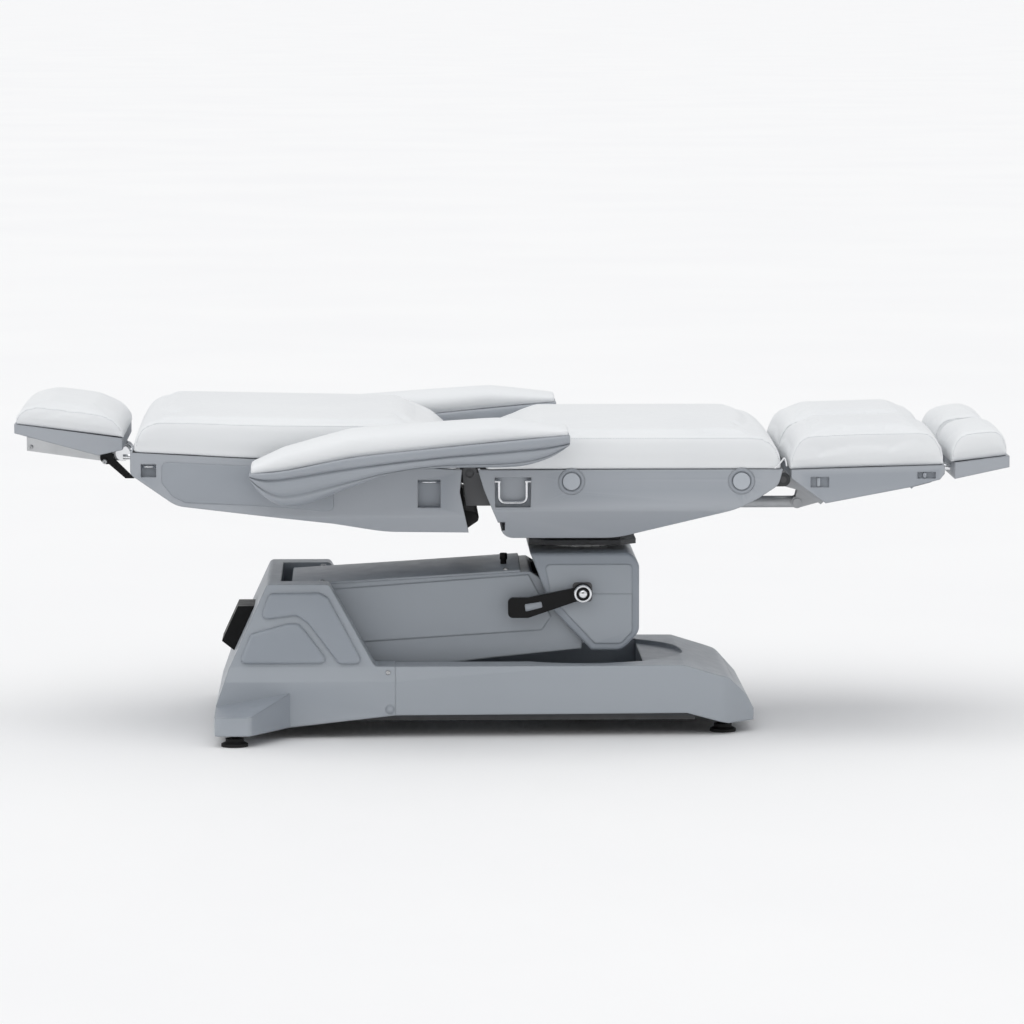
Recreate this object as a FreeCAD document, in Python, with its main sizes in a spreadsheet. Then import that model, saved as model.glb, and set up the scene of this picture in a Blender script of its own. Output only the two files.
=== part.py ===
import FreeCAD, Part
import os
import Sketcher
from FreeCAD import Placement, Rotation, Vector

# Podiatry chair on a low lift base. Millimetres, +X towards the feet, +Z up, floor at Z = 0.
# The right-hand side of the person in the chair is at -Y. Right-hand pieces are drawn, left ones mirrored.

SIZES = {
    # Stance of the base
    "base_rear_x": -553, "base_front_x": 463, "base_split_x": -216, "base_half_width": 245,
    "shoulder_inset": 12, "nose_inset": 21, "nose_corner": 62, "nose_round": 26,
    "base_bottom_z": 22, "base_sill_z": 44, "base_top_z": 135, "base_shoulder_z": 107, "cover_wall": 5,
    "sill_front_x": 333, "nose_start_x": 327, "nose_mid_x": 413, "nose_low_x": 449, "nose_mid_drop": 26,
    "nose_low_drop": 64, "nose_toe_z": 44, "nose_plan_round": 44,
    # Rear tower
    "tower_top_z": 288, "tower_half_width": 212, "tower_top_rear_x": -457, "tower_top_front_x": -341,
    "tower_foot_front_x": -255, "tower_rear_knee_x": -529, "tower_rear_knee_z": 131, "tower_heel_z": 62,
    "tower_round": 10, "slot_half_width": 155, "slot_rear_x": -432, "flare_spread": 117,
    "flare_tip_length": 66, "flare_length": 142, "flare_root_z": 88, "flare_tip_z": 56,
    "flare_round": 14,
    # Round recess and the long well that the arm sinks into
    "well_front_gap": 9, "well_floor_z": 70, "well_floor": 8, "recess_radius": 195, "recess_depth": 8,
    "well_gap": 7,
    # Base frame
    "rail_bottom_z": 30, "rail_top_z": 62, "frame_hole_rear_x": -421, "frame_hole_front_x": 349,
    "frame_front_x": 424, "frame_rear_x": -536, "outrigger_reach": 101, "outrigger_rear_x": -531,
    "outrigger_front_x": -501, "outrigger_bottom_z": 28, "outrigger_top_z": 46, "tower_plate_y": 178,
    "tower_plate": 12, "motor_bar_width": 44, "frame_clearance": 3, "motor_lug_y": 40, "motor_lug": 8,
    "motor_lug_half": 20, "plate_over_shaft": 22.4, "plate_before_shaft": 21, "chassis_bar": 40,
    "rail_inset": 12, "rail_lap": 4, "front_bar_lap": 2,
    # Levelling feet
    "foot_pad_radius": 25, "foot_pad_height": 9, "foot_pad_rim": 5.4, "foot_neck_radius": 17,
    "foot_neck_height": 15,
    "foot_stud_radius": 6, "rear_foot_x": -516, "rear_foot_reach": 88, "front_foot_x": 405,
    # Mains inlet box on the rear slope
    "inlet_half_width": 55, "inlet_low": 0.08, "inlet_high": 0.62, "inlet_depth": 26, "inlet_bevel": 12,
    "socket_half_width": 14, "socket_height": 20, "socket_depth": 14,
    # Lift parallelogram
    "lift_pivot_x": -371, "lift_pivot_z": 248, "lift_reach": 545, "lift_rise": 30, "link_back": 20,
    "link_drop": 70, "main_shaft_radius": 14, "link_shaft_radius": 10, "fit": 0.06, "arm_plate_y": 101,
    "arm_plate": 10, "arm_strip_half": 24, "arm_eye_radius": 24, "arm_tube_radius": 12,
    "rod_tube_reach": 335, "tail_tube_reach": 70, "link_y": 118, "link_plate": 8, "link_strip_half": 13,
    "link_eye_radius": 19, "rod_pin_drop": 38, "rod_lug_y": 18, "rod_lug": 6, "rod_lug_half": 14,
    # Lift motor
    "motor_pivot_x": -343, "motor_pivot_z": 96, "motor_tube_radius": 26, "motor_tube_length": 182,
    "motor_can_radius": 31, "motor_can_length": 70, "motor_neck": 22, "motor_neck_core": 17.6,
    "motor_pin_radius": 8,
    "lift_rod_radius": 11, "lift_rod_inside": 132, "rod_spare": 34, "rod_eye_radius": 14,
    "rod_eye_width": 20,
    # Arm covers
    "arm_half_width": 138, "arm_wall": 4, "arm_tail_x": -411, "arm_tail_z": 276, "arm_head_z": 303,
    "arm_inner_z": 236, "arm_toe_z": 156, "arm_belly_x": -31, "arm_belly_z": 139, "arm_keel_x": -215,
    "arm_keel_z": 117, "arm_hip_x": -321, "arm_hip_z": 150, "arm_tail_low_z": 222, "panel_proud": 3,
    "panel_margin": 6, "panel_low_front_z": 192, "panel_nose_z": 217, "panel_rear_x": -336,
    "panel_low_rear_z": 167, "lid_edge": 4, "lid_crown": 12, "lid_crown_tail": 6,
}

# What the lift carries: places along X (names in _x) are measured from the head pivot, towards the feet.
CARRIED_SIZES = {
    # Arm covers, head end
    "arm_head_x": -135, "arm_inner_x": -27, "arm_toe_x": -37, "panel_low_front_x": -113,
    "panel_nose_x": -95, "panel_high_front_x": -138, "lid_front_x": -153,
    # Head block
    "head_left_x": -135, "head_right_x": 72, "head_top_z": 340, "head_bottom_z": 154,
    "head_half_width": 157, "head_waist_x": -95, "head_waist_z": 235, "head_toe_x": -19, "head_chin_x": 51,
    "head_chin_z": 166, "head_cheek_z": 190, "head_brow_x": 57, "head_brow_z": 318, "head_wall": 5,
    "head_round": 7, "head_panel_margin": 14, "head_panel_proud": 2.5, "head_panel_high_z": 318,
    "head_crease_z": 262, "head_corner_round": 24, "head_panel_round": 8,
    # Head frame
    "head_plate_y": 86, "head_plate": 12, "head_deck": 14, "head_deck_left_x": -105,
    "head_deck_right_x": 49, "head_plate_left_x": -61, "head_plate_right_x": 49, "head_plate_low_z": 182,
    # Swivel
    "swivel_x": -33, "spindle_radius": 22, "spindle_drop": 35, "bearing_radius": 56, "bearing_bore": 24,
    "bearing_height": 9, "slide_gap": 0.3, "swivel_plate": 9, "swivel_plate_half_length": 102,
    "swivel_plate_half_width": 104, "swivel_plate_corner": 30, "pedestal_half_length": 72,
    "pedestal_half_width": 86, "pedestal_height": 42,
    # Swivel lock lever
    "lever_x": -36, "lever_z": 266, "lever_reach": 141, "lever_fall": 28, "lever_root_half": 12,
    "lever_tip_half": 19, "lever_tip_round": 9, "lever_thick": 13, "lever_gap": 4, "lever_stud_radius": 8,
    "lever_boss_radius": 18, "hub_radius": 17, "hub_height": 14, "hub_chamfer": 4,
    # Seat
    "deck_z": 512, "seat_rear_x": -236, "seat_front_x": 332, "shell_half_width": 300, "shell_wall": 4,
    "seat_floor_z": 378, "seat_heel_x": -185, "seat_rear_knee_x": -225, "seat_rear_knee_z": 475,
    "seat_floor_front_x": 25, "seat_rise_x": 261, "seat_rise_z": 441, "seat_toe_x": 324, "seat_toe_z": 482,
    "seat_heel_round": 24, "seat_toe_round": 26, "shell_crease_z": 437, "shell_tuck": 64, "tuck_depth": 62,
    "seat_frame_plate": 8, "seat_plate_half_length": 95, "seat_rail_y": 163, "seat_rail": 25,
    "seat_rail_top_z": 490, "seat_rail_rear_x": -199, "seat_rail_front_x": 287, "cross_tube": 28,
    "rear_tube_z": 460, "front_tube_z": 472, "front_tube_x": 261, "cap_radius": 16, "cap_recess_radius": 25,
    "cap_proud": 2, "cap_recess": 1.5, "rear_cap_x": -62, "front_cap_x": 255, "cap_drop": 22,
    "frame_boss_length": 70, "frame_boss_y": 130, "frame_boss_width": 30, "tube_inset": 38,
    "seat_belly_round": 170, "seat_bow_round": 240, "crease_round": 14,
    # D-ring pocket and ring
    "ring_x": -171, "ring_half_width": 26, "ring_drop": 40, "ring_top_z": 490, "ring_wire": 3,
    "ring_pocket_half_top": 34, "ring_pocket_half_low": 33, "ring_pocket_top_z": 498,
    "ring_pocket_low_z": 442, "pocket_depth": 15, "pocket_wall": 4, "ring_inset": 8,
    # Back hinge
    "back_hinge_x": -251, "back_hinge_z": 503, "guard": 8, "guard_radius": 14, "guard_low_z": 442,
    "back_ear": 10, "hinge_pin_radius": 8, "back_ear_radius": 13, "back_lever_drop": 60, "back_lever_y": 17,
    "back_lever": 7, "back_lever_half": 11, "guard_inset": 34, "back_ear_inset": 46, "back_lever_run": 46,
    # Back motor
    "back_motor_z": 436, "back_motor_radius": 21, "back_motor_rear_x": -147, "back_motor_length": 205,
    "back_rod_radius": 8, "back_rod_inside": 120, "back_eye_radius": 11, "back_eye_width": 18,
    # Back shell and frame
    "back_head_x": -882, "back_foot_x": -266, "back_head_z": 546, "back_lip_z": 505, "back_slope_x": -797,
    "back_slope_z": 446, "back_floor_x": -505, "back_floor_z": 411, "back_belly_x": -409,
    "back_belly_z": 394, "back_mouth_x": -253, "back_mouth_z": 392, "back_waist_x": -270,
    "back_waist_z": 470, "back_lip_round": 14, "back_belly_round": 60, "back_rail_y": 163, "back_rail": 25,
    "back_rail_head_x": -805, "back_rail_low_z": 474, "back_rail_top_z": 508, "back_tube_x": -297,
    "head_tube_x": -785, "socket_y": 60, "socket_radius": 10, "socket_inner_x": -635,
    "socket_outer_x": -865, "side_slot_x": -848, "side_slot_half": 14, "side_slot_low_z": 500,
    "side_slot_top_z": 524, "side_pocket_x": -327, "side_pocket_half": 21, "side_pocket_low_z": 442,
    "side_pocket_top_z": 494, "back_keel_round": 300, "back_crease_round": 10,
    # Armrests
    "armrest_pivot_x": -495, "armrest_pivot_z": 500, "trunnion_radius": 14, "trunnion_inside": 12,
    "trunnion_collar": 19, "arm_rear_x": -660, "arm_rear_z": 514, "arm_rump_x": -635, "arm_rump_z": 476,
    "arm_heel_x": -598, "arm_heel_z": 453, "arm_sole_x": -558, "arm_waist_x": -409, "arm_waist_z": 511,
    "arm_flat_x": -355, "arm_flat_z": 524, "arm_front_x": -161, "arm_nose_x": -105, "arm_nose_z": 544,
    "arm_tip_x": -68, "arm_tip_z": 585, "arm_pad_front_x": -198, "arm_pad_front_z": 573,
    "arm_pad_mid_x": -473, "arm_pad_mid_z": 544, "arm_pad_rear_x": -598, "arm_pad_rear_z": 520,
    "arm_pad_gap": 0.8, "arm_pad_inset": 3, "armrest_gap": 16, "armrest_width": 109, "armrest_band": 11,
    "sole_band_rump": 8, "sole_band_heel": 19, "sole_band_sole": 27, "sole_band_waist": 4,
    "brow_band_rump": 27, "brow_band_heel": 55, "brow_band_sole": 60, "brow_band_waist": 22,
    "brow_band_front": 32, "brow_band_nose": 24, "arm_pad_rear_rise": 22, "arm_pad_tip_rise": 18,
    # Headrest
    "rod_radius": 6, "rod_z": 516, "rod_out_x": -906, "rod_inner_x": -695, "tilt_x": -906, "tilt_z": 522,
    "tilt_pin_radius": 5, "tilt_ear": 8, "tilt_ear_radius": 14, "rail_bar_y": 47, "rail_bar": 10,
    "rail_far_x": -1089, "rail_far_low_z": 527, "rail_far_top_z": 553, "rail_near_x": -951,
    "rail_near_low_z": 508, "rail_pad_x": -995, "rail_notch": 15, "rest_half_width": 200,
    "rest_shell_inset": 6, "rest_far_x": -1103, "rest_far_z": 590, "rest_far_low_z": 573,
    "rest_near_x": -901, "rest_near_z": 563, "rest_low_x": -947, "rest_low_z": 531, "rest_heel_z": 541,
    "grip_x": -936, "grip_z": 516, "grip_y": -70, "grip_thick": 12, "grip_reach": 46,
    "grip_fall": 40, "grip_half": 11, "grip_pin_radius": 4, "grip_eye_radius": 13,
    # Leg rests
    "leg_hinge_x": 335, "leg_hinge_z": 490, "leg_inner_y": 12, "leg_end_x": 634, "leg_deck_rear_z": 511,
    "leg_deck_end_z": 519, "leg_root_x": 348, "leg_root_z": 495, "leg_keel_x": 412, "leg_keel_z": 448,
    "leg_belly_x": 576, "leg_belly_z": 479, "leg_chin_x": 625, "leg_chin_z": 492, "leg_end_low_z": 503,
    "seat_ear": 10, "leg_ear": 10, "ear_gap": 1, "inner_ear_y": 44, "leg_ear_radius": 13,
    "leg_pin_radius": 6, "bracket": 6, "clevis_half_gap": 12, "clevis_ear": 6, "clevis_x": 363,
    "clevis_z": 444, "clevis_radius": 11, "clevis_bolt_radius": 8, "clevis_bolt_head": 4,
    "strut_radius": 11, "strut_length": 200, "strut_eye_radius": 10, "strut_rod_radius": 5,
    "strut_rod_overlap": 100, "strut_lug_x": 40, "strut_lug": 12, "notch_gap": 4, "leg_slot_x": 401,
    "leg_slot_half": 17, "leg_slot_low_z": 478, "leg_slot_top_z": 497, "toe_slot_x": 600,
    "toe_slot_low_z": 494, "toe_slot_top_z": 506, "leg_slot_depth": 8, "seat_ear_inset": 32,
    "clevis_inset": 75, "leg_overhang": 1,
    # Foot rests
    "foot_gap": 20, "foot_end_x": 756, "foot_inner_y": 24, "foot_deck_rear_z": 522, "foot_deck_end_z": 535,
    "foot_low_rear_z": 492, "foot_low_end_z": 514, "runner_radius": 6, "runner_z": 508,
    "runner_spread": 60, "runner_inside": 150, "runner_grip": 34, "paddle_x": 583, "paddle_z": 472,
    "paddle_reach": 38, "paddle_half_width": 32, "paddle_thick": 5, "paddle_boss_radius": 6,
    "paddle_pin_radius": 3, "paddle_lug": 6, "paddle_rise": 4, "paddle_lug_half": 8, "paddle_lug_rise": 16,
    "foot_inset": 10,
    # Upholstery
    "seat_pad_seam_z": 583, "seat_pad_crown_z": 597, "pad_gap": 0.4, "pad_tuck": 10, "pad_shoulder": 16,
    "seat_pad_rear_x": -227, "seat_pad_front_x": 334, "seat_pad_rear_run": 120, "seat_pad_front_run": 58,
    "back_pad_head_x": -880, "back_pad_foot_x": -269, "back_pad_head_rise": 66, "back_pad_foot_rise": 88,
    "back_pad_crown": 12, "back_pad_head_run": 50, "back_pad_foot_run": 120, "leg_pad_rear_x": 341,
    "leg_pad_end_x": 635, "leg_pad_inner_y": 8, "leg_pad_seam_rise": 72, "leg_pad_crown": 11,
    "leg_pad_run": 46, "foot_pad_rear_x": 643, "foot_pad_end_x": 756, "foot_pad_seam_rise": 58,
    "foot_pad_crown": 9, "foot_pad_run": 34, "rest_pad_far_x": -1104, "rest_pad_near_x": -895,
    "rest_pad_seam_rise": 47, "rest_pad_crown": 7, "rest_pad_run": 60, "arm_crown_front_z": 619,
    "arm_crown_mid_z": 601, "arm_crown_rear_z": 566, "pad_overhang": 10, "leg_pad_overhang": 6,
}


class Size:
    """A length that carries both its value and the spreadsheet expression that gives it."""

    def __init__(self, value, text):
        self.value = float(value)
        self.text = text

    def join(self, other, sign, value):
        return Size(value, f"({self.text} {sign} {other.text})")

    def __add__(self, other):
        other = as_size(other)
        return self.join(other, "+", self.value + other.value)

    def __sub__(self, other):
        other = as_size(other)
        return self.join(other, "-", self.value - other.value)

    def __mul__(self, other):
        other = as_size(other)
        return self.join(other, "*", self.value * other.value)

    def __truediv__(self, other):
        other = as_size(other)
        return self.join(other, "/", self.value / other.value)

    def __neg__(self):
        return Size(-self.value, f"(-{self.text})")

    def __radd__(self, other):
        return as_size(other) + self

    def __rsub__(self, other):
        return as_size(other) - self

    def __rmul__(self, other):
        return as_size(other) * self


def as_size(amount):
    """Wrap a plain number as a Size; a Size passes through."""
    return amount if isinstance(amount, Size) else Size(amount, repr(amount))


class SizeTable:
    """The driving dimensions as attributes, each one a Size bound to its spreadsheet cell."""

    def __init__(self, document):
        self.sheet = document.addObject("Spreadsheet::Sheet", "sizes")
        self.rows = 0

    def enter(self, alias, value):
        self.rows += 1
        self.sheet.set(f"A{self.rows}", str(value))
        self.sheet.setAlias(f"A{self.rows}", alias)
        return Size(value, f"sizes.{alias}")

    def fill(self, sizes, carrier=None):
        """Enter sizes; with a carrier, the places along X among them count from it."""
        for alias, value in sizes.items():
            size = self.enter(alias, value)
            moved = carrier is not None and alias.endswith("_x")
            setattr(self, alias, carrier + size if moved else size)


doc = FreeCAD.newDocument("podiatry_chair")
S = SizeTable(doc)
S.fill(SIZES)
lift_head_x = S.lift_pivot_x + S.lift_reach
S.fill(CARRIED_SIZES, lift_head_x)
doc.recompute()
PIECES = {}
PLANE_SIGN = {"XY_Plane": 1, "XZ_Plane": -1, "YZ_Plane": 1}
THROUGH = 2000


def bind(feature, prop, amount):
    """Set a length property and tie it to the sheet."""
    amount = as_size(amount)
    setattr(feature, prop, amount.value)
    feature.setExpression(prop, amount.text)


def box(x0, x1, y0, y1):
    """Four corners of a rectangle in a sketch plane."""
    return [(x0, y0), (x1, y0), (x1, y1), (x0, y1)]


class Piece:
    """One sub-part: a body built from sketches on its own origin planes."""

    def __init__(self, label):
        self.body = doc.addObject("PartDesign::Body", label)
        self.body.Label = label
        self.count = 0
        PIECES[label] = self.body

    def name(self, word):
        self.count += 1
        return f"{self.body.Name}_{word}{self.count}"

    def sketch(self, plane, at):
        """An empty sketch parallel to an origin plane, at a distance along the plane's world axis."""
        drawing = self.body.newObject("Sketcher::SketchObject", self.name("sketch"))
        support = next(f for f in self.body.Origin.OriginFeatures if f.Role == plane)
        drawing.AttachmentSupport = (support, "")
        drawing.MapMode = "FlatFace"
        offset = PLANE_SIGN[plane] * as_size(at)
        drawing.AttachmentOffset = Placement(Vector(0, 0, offset.value), Rotation())
        drawing.setExpression("AttachmentOffset.Base.z", offset.text)
        return drawing

    def fix(self, drawing, geometry, point, x, y):
        """Hold a sketch point at a place given by sizes."""
        for kind, amount in (("DistanceX", as_size(x)), ("DistanceY", as_size(y))):
            constraint = Sketcher.Constraint(kind, -1, 1, geometry, point, amount.value)
            index = drawing.addConstraint(constraint)
            drawing.setExpression(f"Constraints[{index}]", amount.text)

    def polygon(self, plane, at, *outlines):
        drawing = self.sketch(plane, at)
        for outline in outlines:
            first = drawing.GeometryCount
            points = [(as_size(x), as_size(y)) for x, y in outline]
            ring = points[1:] + points[:1]
            for (x0, y0), (x1, y1) in zip(points, ring):
                start = Vector(x0.value, y0.value, 0)
                drawing.addGeometry(Part.LineSegment(start, Vector(x1.value, y1.value, 0)))
            for index in range(len(points)):
                following = first + (index + 1) % len(points)
                drawing.addConstraint(Sketcher.Constraint("Coincident", first + index, 2, following, 1))
            for index, (x, y) in enumerate(points):
                self.fix(drawing, first + index, 1, x, y)
        return drawing

    def circles(self, plane, at, radius, centres):
        drawing = self.sketch(plane, at)
        radius = as_size(radius)
        for x, y in centres:
            centre = Vector(as_size(x).value, as_size(y).value, 0)
            index = drawing.addGeometry(Part.Circle(centre, Vector(0, 0, 1), radius.value))
            self.fix(drawing, index, 3, x, y)
            constraint = drawing.addConstraint(Sketcher.Constraint("Radius", index, radius.value))
            drawing.setExpression(f"Constraints[{constraint}]", radius.text)
        return drawing

    def extrude(self, kind, drawing, depth):
        feature = self.body.newObject(f"PartDesign::{kind}", self.name(kind.lower()))
        feature.Profile = drawing
        feature.SideType = "Symmetric"
        bind(feature, "Length", depth)
        doc.recompute()
        return feature

    def pad(self, plane, outline, depth, at=0):
        self.extrude("Pad", self.polygon(plane, at, outline), depth)
        return self

    def pads(self, plane, outlines, depth, at=0):
        self.extrude("Pad", self.polygon(plane, at, *outlines), depth)
        return self

    def cut(self, plane, outline, depth=THROUGH, at=0):
        self.extrude("Pocket", self.polygon(plane, at, outline), depth)
        return self

    def cuts(self, plane, outlines, depth=THROUGH, at=0):
        self.extrude("Pocket", self.polygon(plane, at, *outlines), depth)
        return self

    def disc(self, plane, radius, centres, depth, at=0):
        self.extrude("Pad", self.circles(plane, at, radius, centres), depth)
        return self

    def bore(self, plane, radius, centres, depth=THROUGH, at=0):
        self.extrude("Pocket", self.circles(plane, at, radius, centres), depth)
        return self

    def loft(self, kind, plane, stations):
        """A straight-sided loft through outlines at several distances along the plane's axis."""
        drawings = [self.polygon(plane, at, outline) for at, outline in stations]
        feature = self.body.newObject(f"PartDesign::{kind}Loft", self.name("loft"))
        feature.Profile = drawings[0]
        feature.Sections = drawings[1:]
        feature.Ruled = True
        doc.recompute()
        return self

    def revolve(self, outline):
        """A turned piece about the Z axis: the outline gives radius and height."""
        feature = self.body.newObject("PartDesign::Revolution", self.name("turned"))
        drawing = self.polygon("XZ_Plane", 0, outline)
        feature.Profile = drawing
        feature.ReferenceAxis = (drawing, ["V_Axis"])
        feature.Angle = 360
        doc.recompute()
        return self

    def edges(self, chosen):
        shape = self.body.Tip.Shape
        return [f"Edge{i}" for i, edge in enumerate(shape.Edges, start=1) if chosen(edge)]

    def soften(self, kind, prop, amount, chosen):
        base = (self.body.Tip, self.edges(chosen))
        feature = self.body.newObject(f"PartDesign::{kind}", self.name(kind.lower()))
        feature.Base = base
        bind(feature, prop, amount)
        doc.recompute()
        return self

    def fillet(self, radius, chosen):
        return self.soften("Fillet", "Radius", radius, chosen)

    def chamfer(self, size, chosen):
        return self.soften("Chamfer", "Size", size, chosen)

    def hollow(self, wall, open_face):
        """Leave a wall of even thickness, open where the chosen faces were."""
        shape = self.body.Tip.Shape
        faces = [f"Face{i}" for i, face in enumerate(shape.Faces, start=1) if open_face(face)]
        base = (self.body.Tip, faces)
        feature = self.body.newObject("PartDesign::Thickness", self.name("hollow"))
        feature.Base = base
        feature.Reversed = True
        feature.Join = 1
        bind(feature, "Value", wall)
        doc.recompute()
        return self

    def place(self, x=0, y=0, z=0):
        for axis, amount in zip("xyz", (x, y, z)):
            self.body.setExpression(f"Placement.Base.{axis}", as_size(amount).text)
        doc.recompute()
        return self


def edge_along(axis, *places):
    """Pick straight edges parallel to an axis that pass through the given places in the other two."""
    others = [i for i in range(3) if i != "XYZ".index(axis)]

    def chosen(edge):
        start = edge.Vertexes[0].Point
        end = edge.Vertexes[-1].Point
        if any(abs(start[i] - end[i]) > 0.01 for i in others):
            return False
        return any(all(abs(start[i] - as_size(v).value) < 0.5 for i, v in zip(others, p)) for p in places)
    return chosen


def facing(axis, sign):
    """Pick flat faces whose normal points mainly along an axis, at the outermost place on that side."""
    index = "XYZ".index(axis)

    def chosen(face):
        u0, u1, v0, v1 = face.ParameterRange
        return face.normalAt((u0 + u1) / 2, (v0 + v1) / 2)[index] * sign > 0.9
    return chosen


def group(label, members):
    """Several separate solids kept as one sub-part."""
    piece = doc.addObject("Part::Compound", label)
    piece.Label = label
    piece.Links = members
    PIECES[label] = piece
    doc.recompute()
    return piece


def round_bar(name, radius, start, axis, length):
    """A plain round bar from a start point along X, Y or Z."""
    bar = doc.addObject("Part::Cylinder", name)
    bind(bar, "Radius", radius)
    bind(bar, "Height", length)
    turn = {"X": Rotation(Vector(0, 1, 0), 90), "Y": Rotation(Vector(1, 0, 0), -90), "Z": Rotation()}[axis]
    bar.Placement = Placement(Vector(*[as_size(v).value for v in start]), turn)
    for letter, amount in zip("xyz", start):
        bar.setExpression(f"Placement.Base.{letter}", as_size(amount).text)
    return bar


def mirrored(label, source):
    """The left-hand twin of a right-hand sub-part."""
    twin = doc.addObject("Part::Mirroring", label)
    twin.Label = label
    twin.Source = PIECES[source]
    twin.Base = Vector(0, 0, 0)
    twin.Normal = Vector(0, 1, 0)
    PIECES[label] = twin


def both_sides(outline):
    """An outline and its mirror image across the middle plane, for sketches whose first axis is Y."""
    return [outline, [(-y, z) for y, z in outline]]


def along_both(outline):
    """An outline in plan and its mirror image across the middle plane."""
    return [outline, [(x, -y) for x, y in outline]]


# Places across that follow the widths of the base and of the shells
nose_half_width = S.base_half_width - S.nose_inset
shoulder_half_width = S.base_half_width - S.shoulder_inset
flare_half_width = S.base_half_width + S.flare_spread
outrigger_y = S.base_half_width + S.outrigger_reach
rear_foot_y = S.base_half_width + S.rear_foot_reach
rail_outer_y = nose_half_width - S.rail_inset
rail_inner_y = S.tower_plate_y - S.rail_lap
front_foot_y = rail_inner_y + S.front_bar_lap
well_half_width = rail_inner_y - S.well_gap
ring_axle_y = S.shell_half_width - S.ring_inset
guard_y = S.shell_half_width - S.guard_inset
back_ear_y = S.shell_half_width - S.back_ear_inset
tube_half_length = S.shell_half_width - S.tube_inset
seat_ear_y = S.shell_half_width - S.seat_ear_inset
clevis_y = S.shell_half_width - S.clevis_inset
leg_outer_y = S.shell_half_width + S.leg_overhang
foot_outer_y = S.shell_half_width - S.foot_inset
arm_inner_y = S.shell_half_width + S.armrest_gap
arm_outer_y = arm_inner_y + S.armrest_width
pad_half = S.shell_half_width + S.pad_overhang
leg_pad_outer_y = S.shell_half_width + S.leg_pad_overhang

# Pivots in the side view
lift_head_z = S.lift_pivot_z + S.lift_rise
link_base = (S.lift_pivot_x - S.link_back, S.lift_pivot_z - S.link_drop)
link_head = (lift_head_x - S.link_back, lift_head_z - S.link_drop)
lift_base = (S.lift_pivot_x, S.lift_pivot_z)
lift_head = (lift_head_x, lift_head_z)
back_hinge = (S.back_hinge_x, S.back_hinge_z)
leg_hinge = (S.leg_hinge_x, S.leg_hinge_z)
rod_pin_x = S.lift_pivot_x + S.rod_tube_reach
arm_slope = S.lift_rise / S.lift_reach
rod_tube_z = S.lift_pivot_z + arm_slope * S.rod_tube_reach
plate_bottom_z = S.head_top_z + S.bearing_height + S.slide_gap
plate_top_z = plate_bottom_z + S.swivel_plate
seat_plate_z = plate_top_z + S.pedestal_height
motor_run_x = rod_pin_x - S.motor_pivot_x
motor_run_z = rod_tube_z - S.rod_pin_drop - S.motor_pivot_z


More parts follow.
